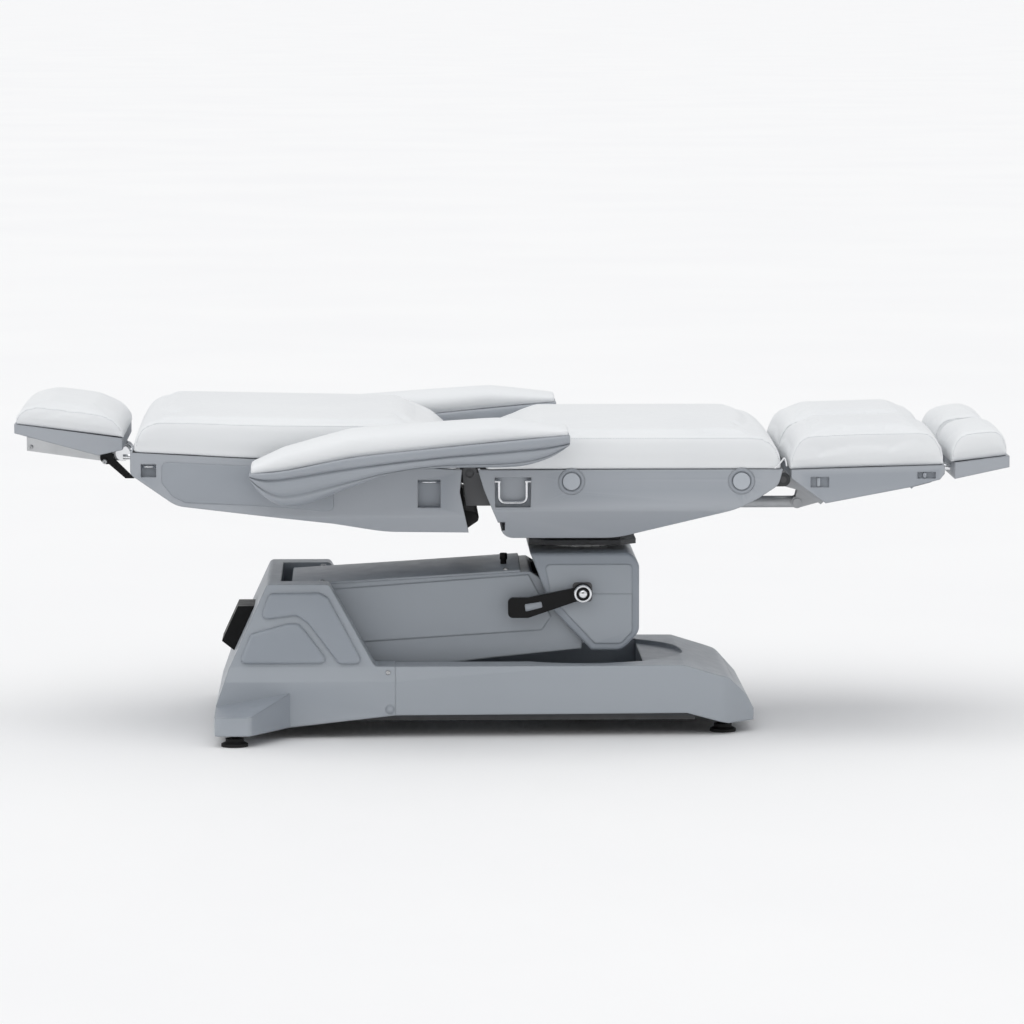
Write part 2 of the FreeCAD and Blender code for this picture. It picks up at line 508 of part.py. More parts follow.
def rear_base_cover():
    cover = Piece("rear_base_cover")
    cover.pad("XZ_Plane", [
        (S.base_rear_x, S.base_bottom_z), (S.base_rear_x, S.tower_heel_z),
        (S.tower_rear_knee_x, S.tower_rear_knee_z), (S.tower_top_rear_x, S.tower_top_z),
        (S.tower_top_front_x, S.tower_top_z), (S.tower_foot_front_x, S.base_top_z),
        (S.base_split_x, S.base_top_z), (S.base_split_x, S.base_sill_z),
        (S.base_rear_x + S.flare_length, S.base_bottom_z)], 2 * S.base_half_width)
    cover.fillet(S.tower_round, edge_along("Y", (S.tower_top_rear_x, S.tower_top_z),
                                           (S.tower_top_front_x, S.tower_top_z),
                                           (S.tower_foot_front_x, S.base_top_z)))
    cover.cuts("YZ_Plane", both_sides([
        (S.base_half_width, S.base_shoulder_z), (shoulder_half_width, S.base_top_z),
        (S.tower_half_width, S.tower_top_z), (S.tower_half_width, S.tower_top_z + S.tower_round),
        (S.base_half_width + S.tower_round, S.tower_top_z + S.tower_round),
        (S.base_half_width + S.tower_round, S.base_shoulder_z)]))
    for side in (1, -1):
        root = [(S.base_rear_x, S.base_bottom_z), (S.base_rear_x + S.flare_length, S.base_bottom_z),
                (S.base_rear_x + S.flare_length, S.flare_root_z), (S.base_rear_x, S.tower_heel_z)]
        tip_x = S.base_rear_x + S.flare_tip_length
        tip = [(S.base_rear_x, S.base_bottom_z), (tip_x, S.base_bottom_z), (tip_x, S.flare_tip_z),
               (S.base_rear_x, S.flare_tip_z)]
        cover.loft("Additive", "XZ_Plane", [
            (side * (S.base_half_width - S.cover_wall), root), (side * flare_half_width, tip)])
        cover.fillet(S.flare_round, edge_along("Z", (S.base_rear_x, side * flare_half_width),
                                               (tip_x, side * flare_half_width)))
    slot_front = S.base_split_x + S.cover_wall
    cover.cut("XY_Plane", box(S.slot_rear_x, slot_front, -S.slot_half_width, S.slot_half_width))
    inner_y = S.slot_half_width + S.cover_wall
    for side in (1, -1):
        low = box(S.frame_rear_x, S.base_split_x - S.cover_wall, side * inner_y,
                  side * (S.base_half_width - 2 * S.cover_wall))
        high = box(S.tower_top_rear_x + 3 * S.cover_wall, S.tower_top_front_x - 2 * S.cover_wall,
                   side * inner_y, side * (S.tower_half_width - 2 * S.cover_wall))
        cover.loft("Subtractive", "XY_Plane", [
            (S.base_bottom_z, low), (S.tower_top_z - 2 * S.cover_wall, high)])
    back_low = box(S.frame_rear_x, S.slot_rear_x - S.cover_wall, -S.slot_half_width, S.slot_half_width)
    back_high = box(S.tower_rear_knee_x + 6 * S.cover_wall, S.slot_rear_x - 4 * S.cover_wall,
                    -S.slot_half_width, S.slot_half_width)
    cover.loft("Subtractive", "XY_Plane", [
        (S.base_bottom_z, back_low), (S.tower_rear_knee_z + 6 * S.cover_wall, back_high)])
    gap = S.frame_clearance
    cover.cut("XZ_Plane", box(S.outrigger_rear_x - gap, S.outrigger_front_x + gap, S.base_bottom_z - gap,
                              S.outrigger_top_z + gap), 2 * (outrigger_y + gap))
    cover.cut("XZ_Plane", box(S.frame_rear_x - gap / 2, S.base_split_x + gap, S.base_bottom_z - gap,
                              S.rail_top_z), 2 * (rail_outer_y + gap))
    cover.bore("XZ_Plane", S.main_shaft_radius + gap, [lift_base], 2 * (S.tower_plate_y + S.tower_plate))
    cover.bore("XZ_Plane", S.link_shaft_radius + gap, [link_base], 2 * (S.tower_plate_y + S.tower_plate))


def front_base_cover():
    cover = Piece("front_base_cover")
    cover.pad("XZ_Plane", [
        (S.base_split_x, S.base_sill_z), (S.base_split_x, S.base_top_z), (S.nose_start_x, S.base_top_z),
        (S.nose_mid_x, S.base_top_z - S.nose_mid_drop), (S.nose_low_x, S.base_top_z - S.nose_low_drop),
        (S.base_front_x, S.nose_toe_z), (S.base_front_x, S.base_bottom_z), (S.nose_mid_x, S.base_bottom_z),
        (S.sill_front_x, S.base_sill_z)], 2 * S.base_half_width)
    cover.fillet(S.nose_round, edge_along("Y", (S.nose_mid_x, S.base_top_z - S.nose_mid_drop),
                                          (S.nose_low_x, S.base_top_z - S.nose_low_drop)))
    over = S.base_top_z + S.recess_depth
    wide = S.base_half_width + S.recess_depth
    cover.cuts("YZ_Plane", both_sides([
        (S.base_half_width, S.base_shoulder_z), (shoulder_half_width, S.base_top_z),
        (shoulder_half_width, over), (wide, over), (wide, S.base_shoulder_z)]))
    front = S.base_front_x + S.recess_depth
    cover.cuts("XY_Plane", along_both([
        (S.base_split_x, S.base_half_width), (S.base_front_x - S.nose_corner, nose_half_width),
        (S.base_front_x, nose_half_width - S.nose_corner),
        (front, nose_half_width - S.nose_corner), (front, wide), (S.base_split_x, wide)]))
    corner_x = S.base_front_x - S.nose_corner
    cover.fillet(S.nose_plan_round, edge_along("Z", (corner_x, nose_half_width),
                                               (corner_x, -nose_half_width)))
    well_front = S.head_right_x + S.well_front_gap
    cover.cut("XY_Plane", box(S.base_split_x - S.cover_wall, well_front, -well_half_width, well_half_width),
              2 * (over - S.well_floor_z), over)
    cover.bore("XY_Plane", S.recess_radius, [(S.swivel_x, 0)], 2 * S.recess_depth, S.base_top_z)
    inner = well_half_width + S.cover_wall
    roof = S.base_top_z - S.recess_depth - S.cover_wall
    floor_depth = 2 * (roof - S.base_bottom_z)
    cover.cuts("XY_Plane", along_both(box(
        S.base_split_x - S.cover_wall, S.frame_hole_front_x + S.cover_wall, inner,
        nose_half_width - S.cover_wall)),
        floor_depth, S.base_bottom_z)
    bar = S.chassis_bar / 2 + S.frame_clearance
    cover.cut("XZ_Plane", box(S.swivel_x - bar, S.swivel_x + bar, S.base_bottom_z, S.rail_top_z),
              2 * (rail_outer_y + S.frame_clearance))
    low_roof = S.base_top_z - S.nose_mid_drop - 3 * S.cover_wall
    cover.cut("XY_Plane", box(
        well_front + S.cover_wall, S.frame_front_x + S.frame_clearance,
        -nose_half_width + 6 * S.cover_wall, nose_half_width - 6 * S.cover_wall),
        2 * (low_roof - S.base_bottom_z), S.base_bottom_z)
    cover.cut("XY_Plane", box(S.base_split_x - S.cover_wall, well_front - S.cover_wall, -well_half_width,
                              well_half_width), 2 * (S.well_floor_z - S.well_floor - S.base_bottom_z),
              S.base_bottom_z)


def base_frame():
    frame = Piece("base_frame")
    middle = (S.rail_bottom_z + S.rail_top_z) / 2
    height = S.rail_top_z - S.rail_bottom_z
    frame.pad("XY_Plane", box(S.frame_rear_x, S.frame_hole_front_x, -rail_outer_y, rail_outer_y),
              height, middle)
    frame.pad("XY_Plane", box(S.frame_hole_front_x - S.cover_wall, S.frame_front_x, -front_foot_y,
                              front_foot_y), height, middle)
    bar_rear = S.motor_pivot_x - S.motor_bar_width / 2
    bar_front = S.motor_pivot_x + S.motor_bar_width / 2
    middle_rear = S.swivel_x - S.chassis_bar / 2
    middle_front = S.swivel_x + S.chassis_bar / 2
    for rear, front in ((S.frame_hole_rear_x, bar_rear), (bar_front, middle_rear),
                        (middle_front, S.frame_hole_front_x)):
        frame.cut("XY_Plane", box(rear, front, -rail_inner_y, rail_inner_y))
    rib = S.outrigger_top_z - S.outrigger_bottom_z
    frame.pad("XY_Plane", box(S.outrigger_rear_x, S.outrigger_front_x, -outrigger_y, outrigger_y), rib,
              S.outrigger_bottom_z + rib / 2)
    plate_foot = S.lift_pivot_x - S.link_back - 3 * S.main_shaft_radius
    plate_toe = S.lift_pivot_x + 3 * S.main_shaft_radius
    plate_top = S.lift_pivot_z + S.plate_over_shaft
    outline = [
        (plate_foot, S.rail_top_z), (plate_toe, S.rail_top_z),
        (S.lift_pivot_x + S.plate_before_shaft, S.lift_pivot_z), (S.lift_pivot_x, plate_top),
        (S.lift_pivot_x - S.plate_over_shaft, plate_top),
        (link_base[0] - 2 * S.link_shaft_radius, link_base[1] + S.link_shaft_radius)]
    for side in (1, -1):
        frame.pad("XZ_Plane", outline, S.tower_plate, side * S.tower_plate_y)
    lug = [(S.motor_pivot_x - S.motor_lug_half, S.rail_top_z),
           (S.motor_pivot_x + S.motor_lug_half, S.rail_top_z),
           (S.motor_pivot_x + S.motor_lug_half / 2, S.motor_pivot_z + S.motor_lug_half),
           (S.motor_pivot_x - S.motor_lug_half / 2, S.motor_pivot_z + S.motor_lug_half)]
    for side in (1, -1):
        frame.pad("XZ_Plane", lug, S.motor_lug, side * S.motor_lug_y)
    frame.bore("XZ_Plane", S.main_shaft_radius + S.fit, [lift_base])
    frame.bore("XZ_Plane", S.link_shaft_radius + S.fit, [link_base])
    frame.bore("XZ_Plane", S.motor_pin_radius + S.fit, [(S.motor_pivot_x, S.motor_pivot_z)])
    feet = [(S.rear_foot_x, rear_foot_y), (S.rear_foot_x, -rear_foot_y),
            (S.front_foot_x, front_foot_y - S.foot_neck_radius),
            (S.front_foot_x, S.foot_neck_radius - front_foot_y)]
    frame.bore("XY_Plane", S.foot_stud_radius + S.fit, feet, 2 * S.rail_top_z + 2 * S.cover_wall)


def levelling_feet():
    for end, x, y in (("rear", S.rear_foot_x, rear_foot_y),
                      ("front", S.front_foot_x, front_foot_y - S.foot_neck_radius)):
        seat = S.outrigger_bottom_z if end == "rear" else S.rail_bottom_z
        for side, sign in (("left", 1), ("right", -1)):
            foot = Piece(f"levelling_foot_{end}_{side}")
            foot.revolve([
                (0, 0), (S.foot_pad_radius, 0), (S.foot_pad_radius, S.foot_pad_rim),
                (S.foot_neck_radius, S.foot_pad_height), (S.foot_neck_radius, S.foot_neck_height),
                (S.foot_stud_radius, S.foot_neck_height), (S.foot_stud_radius, seat + S.foot_neck_height),
                (0, seat + S.foot_neck_height)])
            foot.place(x, sign * y)


def mains_inlet():
    box_piece = Piece("mains_inlet")
    run_x = S.tower_top_rear_x - S.tower_rear_knee_x
    run_z = S.tower_top_z - S.tower_rear_knee_z

    def on_slope(share, out):
        return (S.tower_rear_knee_x + run_x * share - out,
                S.tower_rear_knee_z + run_z * share + out * (run_x / run_z))

    low = S.inlet_low
    high = S.inlet_high
    bevel = S.inlet_bevel / run_z
    box_piece.pad("XZ_Plane", [
        on_slope(low, as_size(0)), on_slope(low + bevel / 2, S.inlet_depth), on_slope(high - bevel,
                                                                                      S.inlet_depth),
        on_slope(high, as_size(0))], 2 * S.inlet_half_width)
    middle = on_slope((low + high) / 2, S.inlet_depth)
    box_piece.cut("YZ_Plane", box(-S.socket_half_width, S.socket_half_width, middle[1] - S.socket_height / 2,
                                  middle[1] + S.socket_height / 2), 2 * S.socket_depth, middle[0])


def pivot_shafts():
    half = S.tower_plate_y + S.tower_plate / 2 + S.cover_wall
    group("base_pivot_shafts", [
        round_bar("lift_shaft", S.main_shaft_radius, (lift_base[0], -half, lift_base[1]), "Y", 2 * half),
        round_bar("link_shaft", S.link_shaft_radius, (link_base[0], -half, link_base[1]), "Y", 2 * half)])
    reach = S.link_y + S.link_plate / 2 + S.arm_wall
    group("head_pivot_shafts", [
        round_bar("head_shaft", S.main_shaft_radius, (lift_head[0], -reach, lift_head[1]), "Y", 2 * reach),
        round_bar("head_link_shaft", S.link_shaft_radius, (link_head[0], -reach, link_head[1]), "Y",
                  2 * reach)])


def strip(start, end, half):
    """A bar outline between two pivots with its upright half height."""
    return [(start[0], start[1] - half), (end[0], end[1] - half), (end[0], end[1] + half),
            (start[0], start[1] + half)]


def arm_frame():
    frame = Piece("arm_frame")
    for side in (1, -1):
        y = side * S.arm_plate_y
        frame.pad("XZ_Plane", strip(lift_base, lift_head, S.arm_strip_half), S.arm_plate, y)
        frame.disc("XZ_Plane", S.arm_eye_radius, [lift_base, lift_head], S.arm_plate, y)
    tail_z = S.lift_pivot_z + arm_slope * S.tail_tube_reach
    tubes = [(rod_pin_x, rod_tube_z), (S.lift_pivot_x + S.tail_tube_reach, tail_z)]
    frame.disc("XZ_Plane", S.arm_tube_radius, tubes, 2 * (S.arm_half_width - S.arm_wall))
    pin_z = rod_tube_z - S.rod_pin_drop
    lug = [(rod_pin_x - S.rod_lug_half, pin_z - S.rod_lug_half), (rod_pin_x + S.rod_lug_half,
                                                                  pin_z - S.rod_lug_half),
           (rod_pin_x + S.rod_lug_half, rod_tube_z), (rod_pin_x - S.rod_lug_half, rod_tube_z)]
    for side in (1, -1):
        frame.pad("XZ_Plane", lug, S.rod_lug, side * S.rod_lug_y)
    frame.bore("XZ_Plane", S.main_shaft_radius + S.fit, [lift_base, lift_head])


def tie_links():
    bars = []
    for side, word in ((1, "left"), (-1, "right")):
        link = Piece(f"tie_link_{word}")
        del PIECES[link.body.Label]
        y = side * S.link_y
        link.pad("XZ_Plane", strip(link_base, link_head, S.link_strip_half), S.link_plate, y)
        link.disc("XZ_Plane", S.link_eye_radius, [link_base, link_head], S.link_plate, y)
        link.bore("XZ_Plane", S.link_shaft_radius + S.fit, [link_base, link_head])
        bars.append(link.body)
    group("tie_links", bars)


def lift_motor():
    """The motor tube lies along the line from its base pivot to the rod pin under the arm."""
    run = Vector(motor_run_x.value, 0, motor_run_z.value)
    along = run.normalize()
    pivot = Vector(S.motor_pivot_x.value, 0, S.motor_pivot_z.value)
    across = Vector(0, 1, 0)

    def bar(radius, start, length, direction=along):
        return Part.makeCylinder(radius, length, pivot + along * start, direction)

    eye_start = S.motor_neck.value + S.fit.value
    tube_end = eye_start + S.motor_can_length.value + S.motor_tube_length.value
    body = bar(S.motor_can_radius.value, eye_start, S.motor_can_length.value)
    body = body.fuse(bar(S.motor_tube_radius.value, eye_start, tube_end - eye_start))
    half = S.motor_lug_y.value - S.motor_lug.value / 2 - S.slide_gap.value
    eye = Part.makeCylinder(S.motor_neck.value, 2 * half, pivot - across * half, across)
    body = body.fuse(eye)
    neck = bar(S.motor_neck_core.value, 0, eye_start + 1)
    body = body.fuse(neck)
    pin_half = S.motor_lug_y.value + S.motor_lug.value / 2
    body = body.fuse(Part.makeCylinder(S.motor_pin_radius.value, 2 * pin_half, pivot - across * pin_half,
                                       across))
    depth = S.lift_rod_inside.value + S.rod_spare.value
    body = body.cut(bar(S.lift_rod_radius.value + S.fit.value, tube_end - depth, depth + 1))
    motor = doc.addObject("Part::Feature", "lift_motor")
    motor.Shape = body.removeSplitter()
    PIECES["lift_motor"] = motor
    reach = Vector(motor_run_x.value, 0, motor_run_z.value).Length
    rod_start = tube_end - S.lift_rod_inside.value
    rod = bar(S.lift_rod_radius.value, rod_start, reach - rod_start - S.rod_eye_radius.value / 2)
    end = pivot + along * reach
    half = S.rod_eye_width.value / 2
    rod = rod.fuse(Part.makeCylinder(S.rod_eye_radius.value, 2 * half, end - across * half, across))
    rod = rod.cut(Part.makeCylinder(S.motor_pin_radius.value, 2 * half, end - across * half, across))
    piece = doc.addObject("Part::Feature", "lift_rod")
    piece.Shape = rod.removeSplitter()
    PIECES["lift_rod"] = piece


def arm_cover():
    cover = Piece("arm_cover")
    cover.pad("XZ_Plane", [
        (S.arm_tail_x, S.arm_tail_low_z), (S.arm_tail_x, S.arm_tail_z), (S.arm_head_x, S.arm_head_z),
        (S.arm_inner_x, S.arm_inner_z), (S.arm_toe_x, S.arm_toe_z), (S.arm_belly_x, S.arm_belly_z),
        (S.arm_keel_x, S.arm_keel_z), (S.arm_hip_x, S.arm_hip_z)], 2 * S.arm_half_width)
    drop = S.arm_wall
    inside = 2 * (S.arm_half_width - S.arm_wall)
    cover.cut("XZ_Plane", [
        (S.arm_tail_x + drop, S.arm_keel_z - drop), (S.arm_tail_x + drop, S.arm_tail_z - drop),
        (S.arm_head_x, S.arm_head_z - drop), (S.lift_pivot_x + S.lift_reach, S.arm_head_z - drop),
        (S.lift_pivot_x + S.lift_reach, S.arm_keel_z - drop)], inside)
    cover.bore("XZ_Plane", S.main_shaft_radius + S.frame_clearance, [lift_base])
    panel = [
        (S.panel_rear_x, S.panel_low_rear_z), (S.panel_low_front_x, S.panel_low_front_z),
        (S.panel_nose_x, S.panel_nose_z), (S.panel_high_front_x, S.arm_head_z - S.panel_margin),
        (S.panel_rear_x, S.arm_tail_z - S.panel_margin)]
    for side in (1, -1):
        cover.pad("XZ_Plane", panel, S.panel_proud + S.arm_wall / 2,
                  side * (S.arm_half_width + S.panel_proud / 2 - S.arm_wall / 4))


def arm_lid_section(x, edge_z, crown):
    """One upright section of the arm lid: a flat underside and a low arched top."""
    half = S.arm_half_width.value
    low_left = Vector(x, -half, edge_z)
    low_right = Vector(x, half, edge_z)
    top_left = low_left + Vector(0, 0, S.lid_edge.value)
    top_right = low_right + Vector(0, 0, S.lid_edge.value)
    crest = Vector(x, 0, edge_z + S.lid_edge.value + crown)
    return Part.Wire([
        Part.LineSegment(low_left, low_right).toShape(), Part.LineSegment(low_right, top_right).toShape(),
        Part.Arc(top_right, crest, top_left).toShape(), Part.LineSegment(top_left, low_left).toShape()])


def arm_top_cover():
    slope = (S.arm_head_z.value - S.arm_tail_z.value) / (S.arm_head_x.value - S.arm_tail_x.value)
    front_z = S.arm_tail_z.value + slope * (S.lid_front_x.value - S.arm_tail_x.value)
    lid = doc.addObject("Part::Feature", "arm_top_cover")
    lid.Shape = Part.makeLoft([
        arm_lid_section(S.arm_tail_x.value, S.arm_tail_z.value, S.lid_crown_tail.value),
        arm_lid_section(S.lid_front_x.value, front_z, S.lid_crown.value)], True, True)
    PIECES["arm_top_cover"] = lid


def head_cover():
    cover = Piece("head_cover")
    cover.pad("XZ_Plane", [
        (S.head_left_x, S.head_top_z), (S.head_waist_x, S.head_waist_z), (S.head_toe_x, S.head_bottom_z),
        (S.head_chin_x - S.head_panel_margin, S.head_bottom_z), (S.head_chin_x, S.head_chin_z),
        (S.head_right_x, S.head_cheek_z), (S.head_right_x, S.head_brow_z), (S.head_brow_x, S.head_top_z)],
        2 * S.head_half_width)
    corners = ((S.head_chin_x - S.head_panel_margin, S.head_bottom_z), (S.head_chin_x, S.head_chin_z),
               (S.head_right_x, S.head_cheek_z), (S.head_right_x, S.head_brow_z), (S.head_brow_x,
                                                                                   S.head_top_z))
    cover.fillet(S.head_corner_round, edge_along("Y", *corners))
    side_y = S.head_half_width.value
    cover.fillet(S.head_round, lambda edge: all(abs(abs(v.Point.y) - side_y) < 0.01 for v in edge.Vertexes)
                 and edge.BoundBox.YLength < 1)
    wall = S.head_wall
    open_x = S.head_left_x - S.head_panel_margin
    cover.cut("XZ_Plane", [
        (open_x, S.head_top_z - wall), (S.head_brow_x - wall, S.head_top_z - wall),
        (S.head_right_x - wall, S.head_brow_z - wall), (S.head_right_x - wall, S.head_cheek_z),
        (S.head_chin_x - wall, S.head_chin_z), (S.head_chin_x - S.head_panel_margin - wall,
                                                S.head_bottom_z - wall),
        (open_x, S.head_bottom_z - wall)], 2 * (S.head_half_width - wall))
    margin = S.head_panel_margin
    panel = [
        (S.head_waist_x + margin, S.head_waist_z + margin / 2), (S.head_toe_x + margin / 2,
                                                                 S.head_bottom_z + margin),
        (S.head_chin_x - margin, S.head_bottom_z + margin), (S.head_right_x - margin, S.head_cheek_z),
        (S.head_right_x - margin, S.head_crease_z), (S.head_waist_x, S.head_crease_z)]
    high = [(S.head_waist_x, S.head_crease_z), (S.head_right_x - margin, S.head_crease_z),
            (S.head_right_x - margin, S.head_panel_high_z), (S.head_left_x + 2 * margin, S.head_panel_high_z)]
    for side in (1, -1):
        for outline, proud in ((panel, S.head_panel_proud), (high, S.head_panel_proud / 2)):
            cover.pad("XZ_Plane", outline, proud + S.head_wall / 2,
                      side * (S.head_half_width + proud / 2 - S.head_wall / 4))
    cover.fillet(S.head_panel_round, edge_along("Y", *panel[:4], *high[2:]))
    cover.bore("XY_Plane", S.bearing_bore, [(S.swivel_x, 0)], 4 * S.head_wall, S.head_top_z)
    stud_depth = S.head_wall + S.head_panel_proud
    cover.bore("XZ_Plane", S.lever_stud_radius + S.fit, [(S.lever_x, S.lever_z)], 4 * stud_depth,
               -S.head_half_width)


def head_frame():
    frame = Piece("head_frame")
    deck_z = S.head_top_z - S.head_wall
    frame.pad("XY_Plane", box(S.head_deck_left_x, S.head_deck_right_x, -S.head_plate_y - S.head_plate / 2,
                              S.head_plate_y + S.head_plate / 2), S.head_deck, deck_z - S.head_deck / 2)
    outline = [
        (S.head_plate_left_x, deck_z - S.head_deck / 2), (S.head_plate_left_x, link_head[1]),
        (link_head[0] - S.link_shaft_radius, S.head_plate_low_z), (link_head[0] + 2 * S.link_shaft_radius,
                                                                   S.head_plate_low_z),
        (S.head_plate_right_x, lift_head[1]), (S.head_plate_right_x, deck_z - S.head_deck / 2)]
    for side in (1, -1):
        frame.pad("XZ_Plane", outline, S.head_plate, side * S.head_plate_y)
    frame.bore("XY_Plane", S.spindle_radius + S.fit, [(S.swivel_x, 0)], 4 * S.head_deck, deck_z)
    frame.bore("XZ_Plane", S.main_shaft_radius + S.fit, [lift_head])
    frame.bore("XZ_Plane", S.link_shaft_radius + S.fit, [link_head])


def swivel():
    bearing = Piece("swivel_bearing")
    bearing.disc("XY_Plane", S.bearing_radius, [(S.swivel_x, 0)], S.bearing_height,
                 S.head_top_z + S.bearing_height / 2)
    bearing.bore("XY_Plane", S.bearing_bore, [(S.swivel_x, 0)])
    plate = Piece("swivel_plate")
    length = S.swivel_plate_half_length
    width = S.swivel_plate_half_width
    corner = S.swivel_plate_corner
    x = S.swivel_x
    plate.pad("XY_Plane", [
        (x - length, corner - width), (x - length + corner, -width), (x + length - corner, -width),
        (x + length, corner - width), (x + length, width - corner), (x + length - corner, width),
        (x - length + corner, width), (x - length, width - corner)], S.swivel_plate,
        plate_bottom_z + S.swivel_plate / 2)
    plate.pad("XY_Plane", box(x - S.pedestal_half_length, x + S.pedestal_half_length, -S.pedestal_half_width,
                              S.pedestal_half_width), S.pedestal_height, plate_top_z + S.pedestal_height / 2)
    spindle = plate_bottom_z - S.head_top_z + S.spindle_drop
    plate.disc("XY_Plane", S.spindle_radius, [(x, 0)], spindle, plate_bottom_z - spindle / 2)


def swivel_lever():
    face_y = S.head_half_width + S.head_panel_proud + S.lever_gap
    middle_y = -(face_y + S.lever_thick / 2)
    handle = Piece("swivel_lever")
    tip_x = S.lever_x - S.lever_reach
    tip_z = S.lever_z - S.lever_fall
    neck_x = tip_x + 2 * S.lever_tip_half
    handle.pad("XZ_Plane", [
        (S.lever_x, S.lever_z - S.lever_root_half), (S.lever_x, S.lever_z + S.lever_root_half),
        (neck_x, tip_z + S.lever_tip_half), (tip_x, tip_z + S.lever_tip_half),
        (tip_x, tip_z - S.lever_tip_half), (neck_x, tip_z - S.lever_tip_half)], S.lever_thick, middle_y)
    handle.fillet(S.lever_tip_round, edge_along("Y", (tip_x, tip_z + S.lever_tip_half),
                                                (tip_x, tip_z - S.lever_tip_half)))
    handle.disc("XZ_Plane", S.lever_boss_radius, [(S.lever_x, S.lever_z)], S.lever_thick, middle_y)
    stud = S.lever_gap + S.head_panel_proud + S.head_wall
    handle.disc("XZ_Plane", S.lever_stud_radius, [(S.lever_x, S.lever_z)], stud,
                -(S.head_half_width - S.head_wall + stud / 2))
    hub = Piece("swivel_lever_hub")
    hub_y = face_y + S.lever_thick + S.hub_height / 2
    hub.disc("XZ_Plane", S.hub_radius, [(S.lever_x, S.lever_z)], S.hub_height, -hub_y)
    outer = (hub_y + S.hub_height / 2).value
    hub.chamfer(S.hub_chamfer, lambda edge: edge.BoundBox.YMax < 0.1 - outer)


def seat_shell():
    """The moulded seat shell with a frame and a floor plate set in as each D-ring pocket."""
    shell = Piece("seat_moulding")
    del PIECES[shell.body.Label]
    members = [shell.body]
    shell.pad("XZ_Plane", [
        (S.seat_rear_x, S.deck_z), (S.seat_rear_knee_x, S.seat_rear_knee_z), (S.seat_heel_x, S.seat_floor_z),
        (S.seat_floor_front_x, S.seat_floor_z), (S.seat_rise_x, S.seat_rise_z), (S.seat_toe_x, S.seat_toe_z),
        (S.seat_front_x, S.deck_z)], 2 * S.shell_half_width)
    shell.fillet(S.seat_heel_round, edge_along("Y", (S.seat_heel_x, S.seat_floor_z)))
    shell.fillet(S.seat_belly_round, edge_along("Y", (S.seat_floor_front_x, S.seat_floor_z)))
    shell.fillet(S.seat_bow_round, edge_along("Y", (S.seat_rise_x, S.seat_rise_z)))
    shell.fillet(S.seat_toe_round, edge_along("Y", (S.seat_toe_x, S.seat_toe_z)))
    low = S.shell_crease_z - S.tuck_depth - S.shell_wall
    shell.cuts("YZ_Plane", both_sides([
        (S.shell_half_width, S.shell_crease_z), (S.shell_half_width - S.shell_tuck,
                                                 S.shell_crease_z - S.tuck_depth),
        (S.shell_half_width - S.shell_tuck, low), (S.shell_half_width + S.shell_wall, low),
        (S.shell_half_width + S.shell_wall, S.shell_crease_z)]))
    shell.hollow(S.shell_wall, facing("Z", 1))
    shell.fillet(S.crease_round, edge_along("X", (S.shell_half_width, S.shell_crease_z),
                                            (-S.shell_half_width, S.shell_crease_z)))
    boss = S.pocket_depth + S.pocket_wall
    for side, word in ((1, "left"), (-1, "right")):
        through = 2 * (boss + S.pocket_wall)
        shell.cut("XZ_Plane", ring_pocket(S.pocket_wall + S.fit), through, side * S.shell_half_width)
        frame = Piece(f"ring_frame_{word}")
        frame.pad("XZ_Plane", ring_pocket(S.pocket_wall), boss, side * (S.shell_half_width - boss / 2))
        frame.cut("XZ_Plane", ring_pocket(as_size(0)), through, side * S.shell_half_width)
        frame.bore("YZ_Plane", S.ring_wire + S.fit, [(side * ring_axle_y, S.ring_top_z)],
                   2 * (S.ring_pocket_half_top + S.pocket_wall), S.ring_x)
        floor = Piece(f"ring_floor_{word}")
        floor.pad("XZ_Plane", ring_pocket(-S.fit), S.pocket_wall,
                  side * (S.shell_half_width - S.pocket_depth - S.pocket_wall / 2))
        for insert in (frame, floor):
            del PIECES[insert.body.Label]
            members.append(insert.body)
        shell.bore("XZ_Plane", S.cap_recess_radius, cap_places(), 2 * S.cap_recess, side * S.shell_half_width)
    gap = S.frame_clearance
    shell.cut("XY_Plane", box(S.swivel_x - S.pedestal_half_length - gap,
                              S.swivel_x + S.pedestal_half_length + gap,
                              -S.pedestal_half_width - gap, S.pedestal_half_width + gap),
              8 * S.shell_wall, S.seat_floor_z)
    slot = S.strut_radius + gap
    for side in (1, -1):
        y = side * clevis_y
        shell.cut("XY_Plane", box(S.clevis_x - S.strut_length, S.seat_front_x + gap, y - slot, y + slot),
                  2 * (S.clevis_z + slot - S.seat_floor_z), S.seat_floor_z)
    ear = S.seat_ear / 2 + S.leg_ear + S.ear_gap + S.notch_gap
    for y in (seat_ear_y, S.inner_ear_y, -S.inner_ear_y, -seat_ear_y):
        shell.cut("YZ_Plane", box(y - ear, y + ear, S.leg_hinge_z - S.leg_ear_radius - gap, S.deck_z + gap),
                  2 * (S.seat_front_x - S.front_tube_x - S.cross_tube), S.seat_front_x)
    opening = guard_y + S.guard / 2 + S.frame_clearance
    shell.cut("YZ_Plane", box(-opening, opening, S.seat_floor_z + 4 * S.shell_wall, S.deck_z + gap),
              2 * (S.seat_heel_x - S.seat_rear_x), S.seat_rear_x)
    group("seat_shell", members)


def ring_pocket(grown):
    """The outline of a D-ring pocket, grown by an amount on every side."""
    low = S.ring_pocket_half_low + grown
    top = S.ring_pocket_half_top + grown
    bottom = S.ring_pocket_low_z - grown
    lintel = S.ring_pocket_top_z + grown
    return [(S.ring_x - low, bottom), (S.ring_x + low, bottom), (S.ring_x + top, lintel),
            (S.ring_x - top, lintel)]


def cap_places():
    """Centres of the round caps on one side of the seat shell."""
    height = S.deck_z - S.cap_drop
    return [(S.rear_cap_x, height), (S.front_cap_x, height)]


